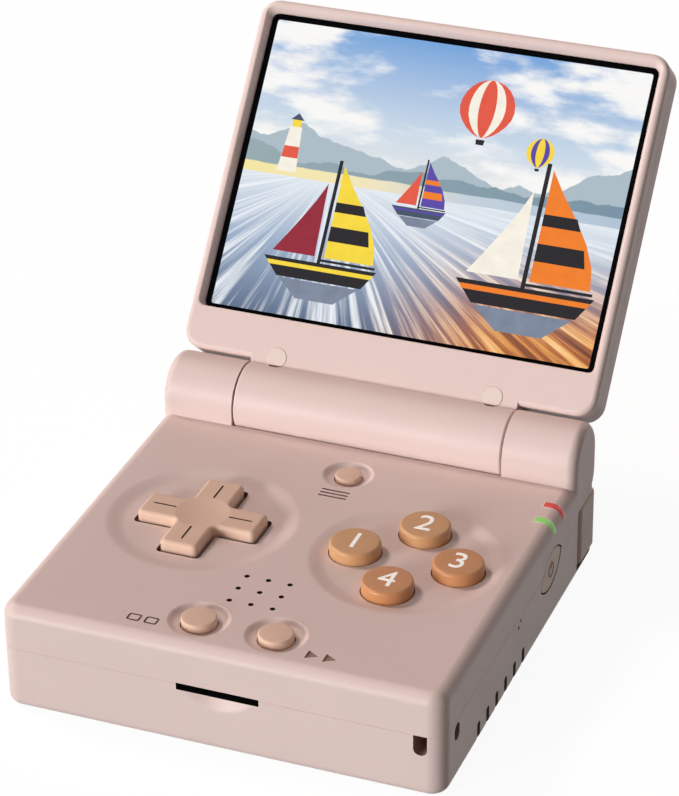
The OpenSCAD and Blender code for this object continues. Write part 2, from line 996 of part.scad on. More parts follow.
module lid_rear_cover() {
    color("#dcc4b9")
        lid_pose()
            difference() {
                intersection() {
                    lid_form();
                    block(-body_w, body_w, -body_d, 0, lid_split, outer_z + 1);
                }
                block(-half_w + 1.6, half_w - 1.6, -lid_len + 1.6, -wing_v - 2.1, lid_split - 1, cover_in);
                block(-barrel_half - 0.05, barrel_half + 0.05, -wing_v - 2.05, 1,
                    lid_split - 1, outer_z + 1);
                along_x(-half_w - 1, half_w + 1, barrel_r + 0.2);
            }
}

module display_panel() {
    color("#1d1f26")
        lid_pose()
            block(-glass_w / 2 + 0.3, glass_w / 2 - 0.3, -glass_v - glass_h + 0.3, -glass_v - 0.3,
                glass_z + glass_t + 0.05, cover_in - 0.3);
}

module display_glass() {
    color("#15171c")
        lid_pose()
            block(-glass_w / 2 + fit_gap, glass_w / 2 - fit_gap, -glass_v - glass_h + fit_gap,
                -glass_v - fit_gap, glass_z, glass_z + glass_t);
}

module bumper_pads() {
    color("#ead8cf")
        lid_pose()
            difference() {
                bumper_places()
                    translate([0, 0, rim_z - 0.12])
                        cylinder(r = bumper_r, h = 0.75);
                along_x(-barrel_half - 1, barrel_half + 1, barrel_r + fit_gap);
            }
}

module lid_screws() {
    color("#8f8f93")
        lid_pose()
            bumper_places() {
                translate([0, 0, rim_z + 0.8])
                    cylinder(r = 1.3, h = 0.8);
                translate([0, 0, rim_z + 1.4])
                    cylinder(r = 0.7, h = 3.4);
            }
}

module lid_magnet() {
    color("#b9b9bf")
        lid_pose()
            translate([magnet_x, -wing_v - 2.4, rim_z + 0.65])
                cylinder(r = 1.5, h = 1.6);
}

module display_cable() {
    color("#c58a3a")
        lid_pose()
            along_x(8.6, half_w - wall - 3, 0.9);
}

base_upper_shell();
base_lower_shell();
base_screws();
main_board();
battery_pack();
speaker();
card_socket();
usb_port();
headphone_jack();
led_window_red();
led_window_green();
hinge_cartridge();
hinge_bush();
pad_membrane();
key_membrane();
small_switches();
side_switches();
shoulder_switches();
hall_sensor();
shoulder_pins();
pad_pivot();
direction_pad();
face_button_top();
face_button_left();
face_button_right();
face_button_bottom();
menu_button();
select_button();
start_button();
power_button();
volume_up_button();
volume_down_button();
shoulder_button_left();
shoulder_button_right();
inner_trigger_left();
inner_trigger_right();
lid_front_frame();
lid_rear_cover();
display_panel();
display_glass();
bumper_pads();
lid_screws();
lid_magnet();
display_cable();
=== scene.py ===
import json
import logging
import math
from collections.abc import Callable, Iterator
from contextlib import contextmanager
from dataclasses import dataclass, field
from enum import Enum
from functools import cache
from typing import Any

import bmesh
import bpy
from mathutils import Euler, Matrix, Vector


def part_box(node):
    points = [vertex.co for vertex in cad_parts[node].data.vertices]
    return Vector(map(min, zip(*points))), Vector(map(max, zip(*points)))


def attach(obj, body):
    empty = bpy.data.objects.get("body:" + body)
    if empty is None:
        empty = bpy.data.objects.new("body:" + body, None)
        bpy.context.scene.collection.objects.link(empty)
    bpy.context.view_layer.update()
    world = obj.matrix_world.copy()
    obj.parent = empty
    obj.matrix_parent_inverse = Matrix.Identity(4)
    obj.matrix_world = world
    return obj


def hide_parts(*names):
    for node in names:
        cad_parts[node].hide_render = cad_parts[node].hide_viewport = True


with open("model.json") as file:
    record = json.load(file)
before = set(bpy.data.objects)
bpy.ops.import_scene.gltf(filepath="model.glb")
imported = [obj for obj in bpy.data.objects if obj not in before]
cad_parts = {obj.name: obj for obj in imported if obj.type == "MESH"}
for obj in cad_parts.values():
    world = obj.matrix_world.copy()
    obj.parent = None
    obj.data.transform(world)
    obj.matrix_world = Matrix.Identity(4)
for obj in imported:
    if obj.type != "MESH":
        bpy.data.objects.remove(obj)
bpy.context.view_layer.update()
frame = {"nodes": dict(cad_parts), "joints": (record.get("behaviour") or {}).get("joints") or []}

# All sizes are in millimetres. The helpers turn them into metres.
LOG = logging.getLogger("console")
MM = 0.001
NEAR = 0.01
STRAIGHT = 0.9999
FACING = 0.9
# How far a cutter reaches past the face that it enters by.
OUT = 1.0
WHITE = (1.0, 1.0, 1.0, 1.0)
Piece = bpy.types.Object
Triple = tuple[float, float, float]
Pair = tuple[float, float]
Test = Callable[[Any], bool]


class Way(Enum):
    """The direction that a round or rounded piece runs along."""

    X = 0
    Y = 1
    Z = 2

    def turn(self) -> Euler:
        """The turn that lays an upright piece along this direction."""
        return Euler([(0, math.pi / 2, 0), (math.pi / 2, 0, 0), (0, 0, 0)][self.value])


class Join(Enum):
    """How a tool shapes a piece."""

    CUT = "DIFFERENCE"
    ADD = "UNION"
    KEEP = "INTERSECT"


def joint(name: str) -> dict[str, Any]:
    """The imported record's joint of that name."""
    return next(row for row in frame["joints"] if row["name"] == name)


def box_of(node: str) -> tuple[Vector, Vector]:
    """Lowest and highest corner of a CAD node, in millimetres."""
    low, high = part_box(node)
    return low / MM, high / MM


def centre_of(node: str) -> Vector:
    """The middle of a CAD node's box, in millimetres."""
    low, high = box_of(node)
    return (low + high) / 2


HINGE = Vector(joint("lid_hinge")["pos_m"]) / MM
OPEN_ANGLE = math.radians(joint("lid_hinge")["range_deg"][1])


def deselect_all() -> None:
    """Leaves nothing selected and nothing active."""
    for thing in list(bpy.context.selected_objects):
        thing.select_set(False)
    bpy.context.view_layer.objects.active = None


def activate(piece: Piece) -> None:
    """Leaves only this piece selected and active."""
    deselect_all()
    piece.select_set(True)
    bpy.context.view_layer.objects.active = piece


def settle(piece: Piece, name: str) -> Piece:
    """Names a piece and moves its place, turn and size into its mesh."""
    activate(piece)
    bpy.ops.object.transform_apply(location=True, rotation=True, scale=True)
    piece.name = name
    piece.data.name = name
    return piece


def add_block(name: str, low: Triple, high: Triple) -> Piece:
    """Adds a box between its lowest and highest corner.

    Args:
        name: Name of the piece.
        low: Lowest corner.
        high: Highest corner.

    Returns:
        The box.
    """
    first, last = Vector(low) * MM, Vector(high) * MM
    deselect_all()
    bpy.ops.mesh.primitive_cube_add(size=1, location=(first + last) / 2)
    piece = bpy.context.active_object
    piece.scale = last - first
    return settle(piece, name)


def add_bar(name: str, centre: Triple, radius: float, length: float, way: Way = Way.Z,
            sides: int = 96) -> Piece:
    """Adds a round bar.

    Args:
        name: Name of the piece.
        centre: Middle of the bar.
        radius: Radius of the bar.
        length: Length of the bar.
        way: Direction that the bar runs along.
        sides: Number of flats round it.

    Returns:
        The bar.
    """
    deselect_all()
    bpy.ops.mesh.primitive_cylinder_add(vertices=sides, radius=radius * MM, depth=length * MM,
                                        location=Vector(centre) * MM, rotation=way.turn())
    return settle(bpy.context.active_object, name)


@contextmanager
def editing(piece: Piece, kind: str = "EDGE") -> Iterator[None]:
    """Opens a piece in edit mode with nothing selected.

    Args:
        piece: Piece to shape.
        kind: VERT, EDGE or FACE, what the picks select.
    """
    activate(piece)
    bpy.ops.object.mode_set(mode="EDIT")
    bpy.ops.mesh.select_mode(type=kind)
    bpy.ops.mesh.select_all(action="DESELECT")
    yield
    bpy.ops.object.mode_set(mode="OBJECT")


def pick(piece: Piece, kind: str, test: Test) -> int:
    """Selects what passes a test in a piece that is in edit mode.

    Args:
        piece: Piece in edit mode.
        kind: verts, edges or faces.
        test: Which of them are selected.

    Returns:
        How many passed.
    """
    mesh = bmesh.from_edit_mesh(piece.data)
    picked = [item for item in getattr(mesh, kind) if test(item)]
    for item in picked:
        item.select_set(True)
    bmesh.update_edit_mesh(piece.data)
    return len(picked)


def extrude(shift: Triple) -> None:
    """Extrudes the selected faces of the piece in edit mode by a shift in metres."""
    bpy.ops.mesh.extrude_region_move(TRANSFORM_OT_translate={"value": shift})


def is_sharp(edge: bmesh.types.BMEdge, degrees: float = 35) -> bool:
    """True where two faces meet at more than this angle."""
    return edge.is_manifold and edge.calc_face_angle(0) > math.radians(degrees)


def runs_along(way: Way) -> Test:
    """A test for straight edges in one direction."""
    return lambda edge: abs((edge.verts[1].co - edge.verts[0].co).normalized()[way.value]) > STRAIGHT


def rim_at(way: Way, place: float) -> Test:
    """A test for the sharp edges that lie at one place along a direction."""
    return lambda edge: is_sharp(edge) and all(
        abs(vert.co[way.value] / MM - place) < NEAR for vert in edge.verts)


def middle_of_side(way: Vector, centre: Vector, reach: float) -> Test:
    """A test for the face straight across from a centre.

    Args:
        way: Direction that the face looks to.
        centre: The point that it lies across from.
        reach: Distance of the face from the centre.

    Returns:
        The test.
    """
    def test(face: bmesh.types.BMFace) -> bool:
        """True for that face."""
        offset = face.calc_center_median() / MM - centre
        return (abs(offset.dot(way.yxz)) < NEAR and face.normal.dot(way) > FACING
                and abs(offset.dot(way) - reach) < NEAR)
    return test


def round_edges(piece: Piece, test: Test, radius: float, segments: int = 6) -> Piece:
    """Rounds the edges of a piece that pass a test.

    Args:
        piece: Piece to shape.
        test: Which edges are rounded.
        radius: Radius of the rounding.
        segments: Number of flats across it.

    Returns:
        The same piece.
    """
    with editing(piece):
        if pick(piece, "edges", test):
            bpy.ops.mesh.bevel(offset=radius * MM, segments=segments, affect="EDGES")
    return piece


def rounded_block(name: str, low: Triple, high: Triple, corner: float, top: float = 0,
                  bottom: float = 0, way: Way = Way.Z, segments: int = 8) -> Piece:
    """Adds a box with rounded corners and rounded ends.

    Args:
        name: Name of the piece.
        low: Lowest corner.
        high: Highest corner.
        corner: Radius of the four edges that run along way.
        top: Rounding of the end at the high side.
        bottom: Rounding of the end at the low side.
        way: Direction that the rounded corners run along.
        segments: Number of flats across each rounding.

    Returns:
        The box.
    """
    piece = round_edges(add_block(name, low, high), runs_along(way), corner, segments)
    for radius, end in ((top, high), (bottom, low)):
        if radius:
            round_edges(piece, rim_at(way, end[way.value]), radius, segments)
    return piece


def face_outwards(piece: Piece) -> Piece:
    """Turns the faces of a closed piece outwards."""
    with editing(piece, "FACE"):
        bpy.ops.mesh.select_all(action="SELECT")
        bpy.ops.mesh.normals_make_consistent(inside=False)
    return piece


def quarter(radius: float, height: float, round_off: float, steps: int = 6) -> list[Pair]:
    """The rings of a rounded upper rim, from the side wall to the top."""
    angles = [math.pi / 2 * step / steps for step in range(steps + 1)]
    return [(radius - round_off + round_off * math.cos(angle),
             height - round_off + round_off * math.sin(angle)) for angle in angles]


def turned(name: str, x: float, y: float, rings: list[Pair], sides: int = 96) -> Piece:
    """Makes an upright round piece by extruding a disc from ring to ring.

    Args:
        name: Name of the piece.
        x: Place of its axis, left to right.
        y: Place of its axis, front to back.
        rings: Radius and height of each ring, from one end to the other.
        sides: Number of flats round it.

    Returns:
        The closed piece.
    """
    radius, height = rings[0]
    deselect_all()
    bpy.ops.mesh.primitive_circle_add(vertices=sides, radius=radius * MM, fill_type="NGON",
                                      location=Vector((x, y, height)) * MM)
    piece = settle(bpy.context.active_object, name)
    with editing(piece, "FACE"):
        bpy.ops.mesh.select_all(action="SELECT")
        for wide, high in rings[1:]:
            extrude((0, 0, (high - height) * MM))
            bpy.ops.transform.resize(value=(wide / radius, wide / radius, 1),
                                     center_override=Vector((x, y, high)) * MM)
            radius, height = wide, high
    return face_outwards(piece)


def combine(piece: Piece, join: Join, *tools: Piece) -> Piece:
    """Shapes a piece with one tool after another and removes the tools.

    Args:
        piece: Piece to shape.
        join: Whether the tools are cut away, added, or what is kept.
        tools: Pieces that are used up.

    Returns:
        The shaped piece.
    """
    for tool in tools:
        activate(piece)
        step = piece.modifiers.new(join.name.lower(), "BOOLEAN")
        step.operation = join.value
        step.solver = "EXACT"
        step.material_mode = "TRANSFER" if tool.data.materials else "INDEX"
        step.object = tool
        bpy.ops.object.modifier_apply(modifier=step.name)
        bpy.data.objects.remove(tool)
    return piece


def cut(piece: Piece, *tools: Piece, lining: "Surface | None" = None) -> Piece:
    """Cuts tools out of a piece.

    Args:
        piece: Piece to shape.
        tools: Pieces that are used up.
        lining: Finish that the cut walls take, a darker colour that paints the shade inside the cut,
            or None for the tools' own or the piece's.

    Returns:
        The shaped piece.
    """
    # The cut walls take the painted shade colour, where one is given.
    for tool in tools:
        if lining:
            tool.data.materials.append(lining.material())
    return combine(piece, Join.CUT, *tools)


def gather(pieces: list[Piece], name: str) -> Piece:
    """Puts several pieces that don't touch into one mesh."""
    deselect_all()
    for piece in pieces:
        piece.select_set(True)
    bpy.context.view_layer.objects.active = pieces[0]
    bpy.ops.object.join()
    return settle(pieces[0], name)


def copied(piece: Piece, name: str, shift: Triple = (0, 0, 0)) -> Piece:
    """A copy of a piece with its own mesh, moved by shift."""
    activate(piece)
    bpy.ops.object.duplicate(linked=False)
    twin = bpy.context.active_object
    twin.location = Vector(shift) * MM
    return settle(twin, name)


def mirrored(piece: Piece, name: str) -> Piece:
    """A copy of a piece, mirrored left to right, with its faces outwards."""
    twin = copied(piece, name)
    twin.scale.x = -1
    return face_outwards(settle(twin, name))


def repeated(piece: Piece, places: dict[str, str]) -> list[Piece]:
    """Copies a piece from the first node's place to the other nodes' places.

    Args:
        piece: Piece at the first node.
        places: CAD node of each place, and the name of the piece there.

    Returns:
        The piece and its copies.
    """
    nodes = list(places)
    home = centre_of(nodes[0])
    return [piece, *[copied(piece, places[node], tuple(centre_of(node) - home))
                     for node in nodes[1:]]]


def turn_about(piece: Piece, centre: Triple, angle: float, way: Way) -> Piece:
    """Turns a piece about an axis through a point, by an angle in radians."""
    middle = Matrix.Translation(Vector(centre) * MM)
    piece.matrix_world = middle @ Matrix.Rotation(angle, 4, way.name) @ middle.inverted()
    return settle(piece, piece.name)


def open_lid(piece: Piece) -> Piece:
    """Turns a piece that was made shut, with the hinge axis as its origin, to the open pose."""
    piece.matrix_world = Matrix.Translation(HINGE * MM) @ Matrix.Rotation(-OPEN_ANGLE, 4, "X")
    return settle(piece, piece.name)


def smooth(piece: Piece, degrees: float = 32) -> Piece:
    """Shades a piece smooth up to an angle and lets its large faces stay flat."""
    activate(piece)
    bpy.ops.object.shade_smooth_by_angle(angle=math.radians(degrees))
    step = piece.modifiers.new("even_normals", "WEIGHTED_NORMAL")
    step.keep_sharp = True
    bpy.ops.object.modifier_apply(modifier=step.name)
    return piece


def linear(colour: Triple) -> tuple[float, float, float, float]:
    """Turns a screen colour of 0 to 255 into a shader's linear colour."""
    parts = [part / 255 for part in colour]
    red, green, blue = (p / 12.92 if p < 0.04 else ((p + 0.055) / 1.055) ** 2.4 for p in parts)
    return red, green, blue, 1.0


class Graph:
    """Adds and joins the nodes of one material or node group."""

    def __init__(self, tree: bpy.types.NodeTree) -> None:
        """Keeps the tree that the nodes go into."""
        self.tree = tree

    def fill(self, node: Any, inputs: dict[Any, Any]) -> Any:
        """Feeds the inputs of a node.

        Args:
            node: The node.
            inputs: Socket name or number, and the value or socket that feeds it.

        Returns:
            The same node.
        """
        for key, value in inputs.items():
            if isinstance(value, bpy.types.NodeSocket):
                self.tree.links.new(value, node.inputs[key])
            else:
                node.inputs[key].default_value = value
        return node

    def add(self, kind: str, inputs: dict[Any, Any] | None = None, **settings: Any) -> Any:
        """Adds a shader node.

        Args:
            kind: Name of the node's type, without ShaderNode.
            inputs: Socket name or number, and the value or socket that feeds it.
            settings: Properties of the node.

        Returns:
            The node.
        """
        node = self.tree.nodes.new(f"ShaderNode{kind}")
        for key, value in settings.items():
            setattr(node, key, value)
        return self.fill(node, inputs or {})

    def math(self, operation: str, first: Any, second: Any = 0.0, clamp: bool = False) -> Any:
        """Adds a Math node and returns its output."""
        return self.add("Math", {0: first, 1: second}, operation=operation,
                        use_clamp=clamp).outputs[0]

    def mix(self, factor: Any, first: Any, second: Any) -> Any:
        """Adds a colour Mix node and returns its colour."""
        return self.add("Mix", {0: factor, 6: first, 7: second}, data_type="RGBA").outputs[2]

    def point(self, across: Any, up: Any) -> Any:
        """Adds a Combine XYZ node for a point in a plane and returns its vector."""
        return self.add("CombineXYZ", {0: across, 1: up}).outputs[0]

    def noise(self, vector: Any, scale: Any, detail: float = 3, rough: float = 0.5) -> Any:
        """Adds a Noise node and returns its value."""
        return self.add("TexNoise", {"Vector": vector, "Scale": scale, "Detail": detail,
                                     "Roughness": rough}).outputs["Fac"]

    def spread(self, value: Any, low: Any, high: Any) -> Any:
        """Maps a value's range onto 0 to 1, smoothly and clamped."""
        return self.add("MapRange", {"Value": value, "From Min": low, "From Max": high},
                        interpolation_type="SMOOTHSTEP").outputs[0]

    def ramp(self, value: Any, stops: list[tuple[float, Triple]]) -> Any:
        """Adds a colour ramp with screen colours and returns its colour."""
        node = self.add("ValToRGB", {0: value})
        points = node.color_ramp.elements
        points[0].position, points[1].position = stops[0][0], stops[-1][0]
        points[0].color, points[1].color = linear(stops[0][1]), linear(stops[-1][1])
        for place, colour in stops[1:-1]:
            points.new(place).color = linear(colour)
        return node.outputs[0]

    def place(self, group: bpy.types.NodeTree, inputs: dict[str, Any]) -> Any:
        """Adds a node group with its own values and returns its first output."""
        return self.fill(self.add("Group", node_tree=group), inputs).outputs[0]

    def object_place(self) -> Any:
        """Object coordinates, through a Mapping node."""
        spot = self.add("TexCoord").outputs["Object"]
        return self.add("Mapping", {"Vector": spot}).outputs[0]


def new_material(name: str) -> tuple[bpy.types.Material, Graph, Any]:
    """Starts a material and returns it with its graph and its shader."""
    material = bpy.data.materials.new(name)
    material.use_nodes = True
    graph = Graph(material.node_tree)
    return material, graph, graph.tree.nodes["Principled BSDF"]


class Group(Graph):
    """A node group that is being made: its graph, its inputs and its one output."""

    def __init__(self, name: str, inputs: dict[str, str], output: str, kind: str) -> None:
        """Starts the group.

        Args:
            name: Name of the group.
            inputs: Name and type of each input, the type as in Vector, Float or Color.
            output: Name of the output.
            kind: Type of the output.
        """
        super().__init__(bpy.data.node_groups.new(name, "ShaderNodeTree"))
        for label, sort in inputs.items():
            self.tree.interface.new_socket(label, in_out="INPUT", socket_type=f"NodeSocket{sort}")
        self.tree.interface.new_socket(output, in_out="OUTPUT", socket_type=f"NodeSocket{kind}")
        self.given = self.tree.nodes.new("NodeGroupInput").outputs
        self.result = self.tree.nodes.new("NodeGroupOutput")
        self.scale = self.math("DIVIDE", 1 / MM, self.given["Size"])

    def wander(self, detail: float, rough: float = 0.5) -> Any:
        """A slow noise about zero, times the Amount that the group is given."""
        drift = self.noise(self.given["Vector"], self.scale, detail, rough)
        return self.math("MULTIPLY", self.math("SUBTRACT", drift, 0.5), self.given["Amount"])

    def finish(self, output: Any) -> bpy.types.NodeTree:
        """Joins the result to the group's output and returns the group."""
        self.fill(self.result, {0: output})
        return self.tree


@cache
def fine_grain() -> bpy.types.NodeTree:
    """Group: the fine spark-eroded grain of a mould. Size is in millimetres."""
    group = Group("fine_grain", {"Vector": "Vector", "Size": "Float"}, "Height", "Float")
    soft = group.noise(group.given["Vector"], group.scale, 2)
    pits = group.add("TexVoronoi", {"Vector": group.given["Vector"], "Scale": group.scale})
    return group.finish(group.math("ADD", soft, group.math("MULTIPLY", pits.outputs[0], 0.5)))


@cache
def tone_drift() -> bpy.types.NodeTree:
    """Group: a slow drift of a colour's lightness over a surface. Size is in millimetres."""
    group = Group("tone_drift", {"Vector": "Vector", "Colour": "Color", "Amount": "Float",
                                 "Size": "Float"}, "Colour", "Color")
    value = group.math("ADD", 1.0, group.wander(4))
    tinted = group.add("HueSaturation", {"Color": group.given["Colour"], "Value": value})
    return group.finish(tinted.outputs[0])


@cache
def uneven_gloss() -> bpy.types.NodeTree:
    """Group: a roughness that wanders where a surface was handled. Size is in millimetres."""
    group = Group("uneven_gloss", {"Vector": "Vector", "Roughness": "Float", "Amount": "Float",
                                   "Size": "Float"}, "Roughness", "Float")
    return group.finish(group.math("ADD", group.given["Roughness"], group.wander(5, 0.6), True))


@dataclass(frozen=True)
class Surface:
    """A finish with a mould's grain, a drift of tone and an uneven gloss.

    Attributes:
        name: Name of the material.
        colour: Screen colour, 0 to 255.
        roughness: Middle roughness.
        metal: 1 for bare metal.
        grain: Size of the grain.
        relief: Strength of the grain's bump.
        drift: How far the tone wanders.
        specular: Level of the mirror-like part.
        glow: Strength of the light that it gives out itself; on the white print this is painted glow.
    """

    name: str
    colour: Triple
    roughness: float = 0.5
    metal: float = 0.0
    grain: float = 0.16
    relief: float = 0.10
    drift: float = 0.05
    specular: float = 0.4
    glow: float = 0.0

    @cache
    def material(self) -> bpy.types.Material:
        """Makes the material once."""
        material, graph, shader = new_material(self.name)
        spot = graph.object_place()
        colour = graph.place(tone_drift(), {"Vector": spot, "Colour": linear(self.colour),
                                            "Amount": self.drift, "Size": 9.0})
        gloss = graph.place(uneven_gloss(), {"Vector": spot, "Roughness": self.roughness,
                                             "Amount": 0.12, "Size": 4.0})
        height = graph.place(fine_grain(), {"Vector": spot, "Size": self.grain})
        bump = graph.add("Bump", {"Strength": self.relief, "Distance": 0.02 * MM,
                                  "Height": height})
        graph.fill(shader, {"Base Color": colour, "Roughness": gloss, "Normal": bump.outputs[0],
                            "Metallic": self.metal, "Specular IOR Level": self.specular})
        if self.glow:
            graph.fill(shader, {"Emission Color": colour, "Emission Strength": self.glow})
        return material


SHELL = Surface("pink_shell", (230, 208, 202), 0.46, specular=0.35)
TAN = Surface("tan_button", (231, 196, 174), 0.5)
CARAMEL = Surface("caramel_button", (207, 144, 95), 0.38, specular=0.45)
HONEY = Surface("honey_button", (212, 161, 114), 0.38, specular=0.45)
REAR_TAN = Surface("rear_button", (214, 190, 172), 0.5)
FLUSH_PINK = Surface("flush_button", (228, 200, 180), 0.48)
# Painted shade: these darker finishes line the walls of holes, grooves, pockets and slots and stand in
# for the shade inside them.
RECESS_PAINTED_SHADE = Surface("pink_recess", (118, 82, 72), 0.6)
DEEP_PAINTED_SHADE = Surface("deep_recess", (52, 38, 36), 0.7)
MILD_PAINTED_SHADE = Surface("engraved_mark", (158, 126, 116), 0.6)
VENT_PAINTED_SHADE = Surface("vent_lining", (86, 62, 58), 0.6)
SLOT_PAINTED_SHADE = Surface("slot_lining", (16, 15, 15), 0.7, specular=0.1)
RED_WINDOW = Surface("red_window", (224, 74, 70), 0.3, grain=0.4, drift=0.12, glow=0.12)
GREEN_WINDOW = Surface("green_window", (150, 230, 116), 0.3, grain=0.4, drift=0.12, glow=0.14)
# Painted highlight: the pale colour of the rims round the light windows.
WINDOW_RIM_PAINTED_HIGHLIGHT = Surface("window_rim", (248, 224, 216), 0.4)
# The white print is real; its glow is painted light.
WHITE_PRINT_PAINTED_GLOW = Surface("white_print", (250, 248, 245), 0.55, glow=0.22)
BROWN_PRINT = Surface("brown_print", (128, 88, 70), 0.6)
PALE_PAD = Surface("pale_pad", (233, 215, 206), 0.42)
BLACK_GLASS = Surface("black_glass", (7, 7, 9), 0.3, grain=0.5, relief=0.01, specular=0.01)
STEEL = Surface("steel", (176, 177, 180), 0.34, metal=1.0, grain=0.3)
BRIGHT_STEEL = Surface("bright_steel", (204, 205, 208), 0.26, metal=1.0, grain=0.3)
BOARD = Surface("board_lacquer", (36, 98, 60), 0.35, grain=0.5, drift=0.3)
FOIL = Surface("battery_foil", (176, 180, 188), 0.4, metal=0.7, grain=0.8, relief=0.4)
DARK_PLASTIC = Surface("dark_plastic", (40, 40, 44), 0.5)
RUBBER = Surface("silicone", (214, 213, 206), 0.6)
AMBER = Surface("amber_film", (196, 132, 52), 0.35)


@dataclass
class SubAssembly:
    """A group of pieces that are built together."""

    made: list[str] = field(default_factory=list, init=False)

    def hand_over(self, piece: Piece, body: str, finish: Any, slot: str, *nodes: str) -> Piece:
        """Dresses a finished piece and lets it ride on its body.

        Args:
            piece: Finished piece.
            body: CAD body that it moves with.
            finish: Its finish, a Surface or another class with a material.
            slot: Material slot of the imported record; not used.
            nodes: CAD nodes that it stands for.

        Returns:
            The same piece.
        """
        if not piece.data.materials:
            piece.data.materials.append(finish.material())
        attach(piece, body)
        if nodes:
            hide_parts(*nodes)
        self.made.append(piece.name)
        LOG.info("%s: %d faces on %s", piece.name, len(piece.data.polygons), body)
        return piece

    def hand_over_pair(self, piece: Piece, stem: str, twin_name: str, finish: Surface) -> None:
        """Hands over a right-hand piece and its mirror image.

        Args:
            piece: The right one.
            stem: Name of the two bodies and nodes, without the side.
            twin_name: Name of the left piece.
            finish: Finish of both.
        """
        twin = mirrored(piece, twin_name)
        for one, side in ((piece, "right"), (twin, "left")):
            body = f"{stem}_{side}"
            self.hand_over(smooth(one), body, finish, "button_mauve", body)

    def build(self) -> None:
        """Builds and dresses the pieces."""
        raise NotImplementedError


@dataclass
class Base(SubAssembly):
    """The two base shells with everything that is cut into them.

    Attributes:
        top: Height of the flat top.
        corner: Radius of the upright corners.
        edge: Rounding of the top edges.
        low_edge: Rounding of the bottom edges.
        wall: Wall of the shells.
        ceiling: Underside of the top.
        seam_line: Depth of the fine groove at the parting line.
        barrel: Radius of the hinge barrel and knuckles.
        knuckle: Distance of the knuckles' inner ends from the middle.
        dish: Radius of the two shallow dishes.
        dish_depth: Depth of the dishes.
        dish_slope: Width of the slope inside a dish's rim.
        flange_rim: How far a small cap's flange stands out past the cap.
        arm_long: Half of the direction pad's hole, tip to tip.
        arm_wide: Half the width of an arm's hole.
        key_hole: Radius of a face button's hole.
        slot_width: Width of the card slot.
        slot_height: Height of the card slot.
        grille_pitch: Pitch of the speaker holes.
        grille_hole: Radius of a speaker hole.
        vent_pitch: Pitch of the side vents.
        vents: Number of side vents.
        window_rim: Width of the rim round a light window, painted pale as a highlight.
        window_fit: Room between a light window and its rim.
        leaf_z: Height of the middle of the power button.
        leaf_half: Half the length of its leaf outline.
        leaf_rise: Half the width of its leaf outline.
        leaf_gap: Room round the power button.
        leaf_tilt: Tilt of the leaf, in degrees.
    """

    top: float = 16.6
    corner: float = 2.6
    edge: float = 1.9
    low_edge: float = 1.5
    wall: float = 1.5
    ceiling: float = 15.0
    seam_line: float = 0.09
    barrel: float = 5.45
    knuckle: float = 21.55
    dish: float = 14.3
    dish_depth: float = 0.52
    dish_slope: float = 2.9
    flange_rim: float = 0.7
    arm_long: float = 9.66
    arm_wide: float = 3.36
    key_hole: float = 3.9
    slot_width: float = 12.3
    slot_height: float = 1.1
    grille_pitch: float = 3.26
    grille_hole: float = 0.4
    vent_pitch: float = 3.87
    vents: int = 6
    window_rim: float = 0.28
    window_fit: float = 0.01
    leaf_z: float = 9.3
    leaf_half: float = 4.7
    leaf_rise: float = 2.7
    leaf_gap: float = 0.22
    leaf_tilt: float = 14.0

    def __post_init__(self) -> None:
        """Takes the outline and the parting line from the CAD shells."""
        low, high = box_of("base_lower_shell")
        self.side, self.back, self.seam = high.x, high.y, high.z
        self.front = low.y
        self.inside = self.side - self.wall

    def outer(self, name: str, low: float, high: float, top: float, bottom: float) -> Piece:
        """The outer form of the base between two heights, with the groove at the seam."""
        shell = rounded_block(name, (-self.side, self.front, low), (self.side, self.back, high),
                              self.corner, top, bottom)
        shell.data.materials.append(SHELL.material())
        return round_edges(shell, rim_at(Way.Z, self.seam), self.seam_line, 2)

    def knuckle_form(self) -> Piece:
        """The right knuckle: a round bar whose lower half is drawn down into the base."""
        length = self.side - self.knuckle
        bar = add_bar("knuckle", (self.knuckle + length / 2, HINGE.y, HINGE.z), self.barrel,
                      length, Way.X, 128)
        drop = HINGE.z - self.seam - self.barrel - 0.1
        with editing(bar, "VERT"):
            pick(bar, "verts", lambda vert: vert.co.z / MM < HINGE.z - NEAR)
            bpy.ops.transform.translate(value=(0, 0, -drop * MM))
        return round_edges(bar, rim_at(Way.X, self.side), 1.5, 8)

    def dish_form(self, centre: Vector, steps: int = 10) -> Piece:
        """The shallow dish round the pad or the face buttons, as a cutter."""
        rings = [(self.dish, self.top + OUT), (self.dish, self.top)]
        for step in range(1, steps + 1):
            share = step / steps
            fall = share * share * (3 - 2 * share)
            rings.append((self.dish - self.dish_slope * share, self.top - self.dish_depth * fall))
        return turned("dish", centre.x, centre.y, rings, 144)

    def recess_form(self, node: str) -> Piece:
        """The coned recess round a small button, as a cutter."""
        centre, rim = centre_of(node), self.cap_radius(node) + 1.7
        profile = [(0.35, -OUT), (0.35, 0), (0.12, 0.04), (-0.06, 0.16), (-0.4, 0.5),
                   (-0.65, 0.68), (-1.3, 0.8)]
        return turned("recess", centre.x, centre.y,
                      [(rim + wide, self.top - deep) for wide, deep in profile])

    def cap_radius(self, node: str) -> float:
        """Radius of a small button's cap, inside the flange of its CAD node."""
        low, high = box_of(node)
        return (high.x - low.x) / 2 - self.flange_rim

    def round_hole(self, node: str, radius: float, sides: int) -> Piece:
        """A round hole through the top at a button's place, as a cutter."""
        spot = centre_of(node)
        return add_bar("hole", (spot.x, spot.y, self.top), radius, 8, Way.Z, sides)

    def pad_hole(self) -> list[Piece]:
        """The cross-shaped hole for the direction pad, as cutters."""
        spot = centre_of("direction_pad")
        sizes = [(self.arm_long, self.arm_wide), (self.arm_wide, self.arm_long)]
        return [rounded_block("arm", (spot.x - a, spot.y - b, self.top - 4),
                              (spot.x + a, spot.y + b, self.top + OUT), 0.7) for a, b in sizes]

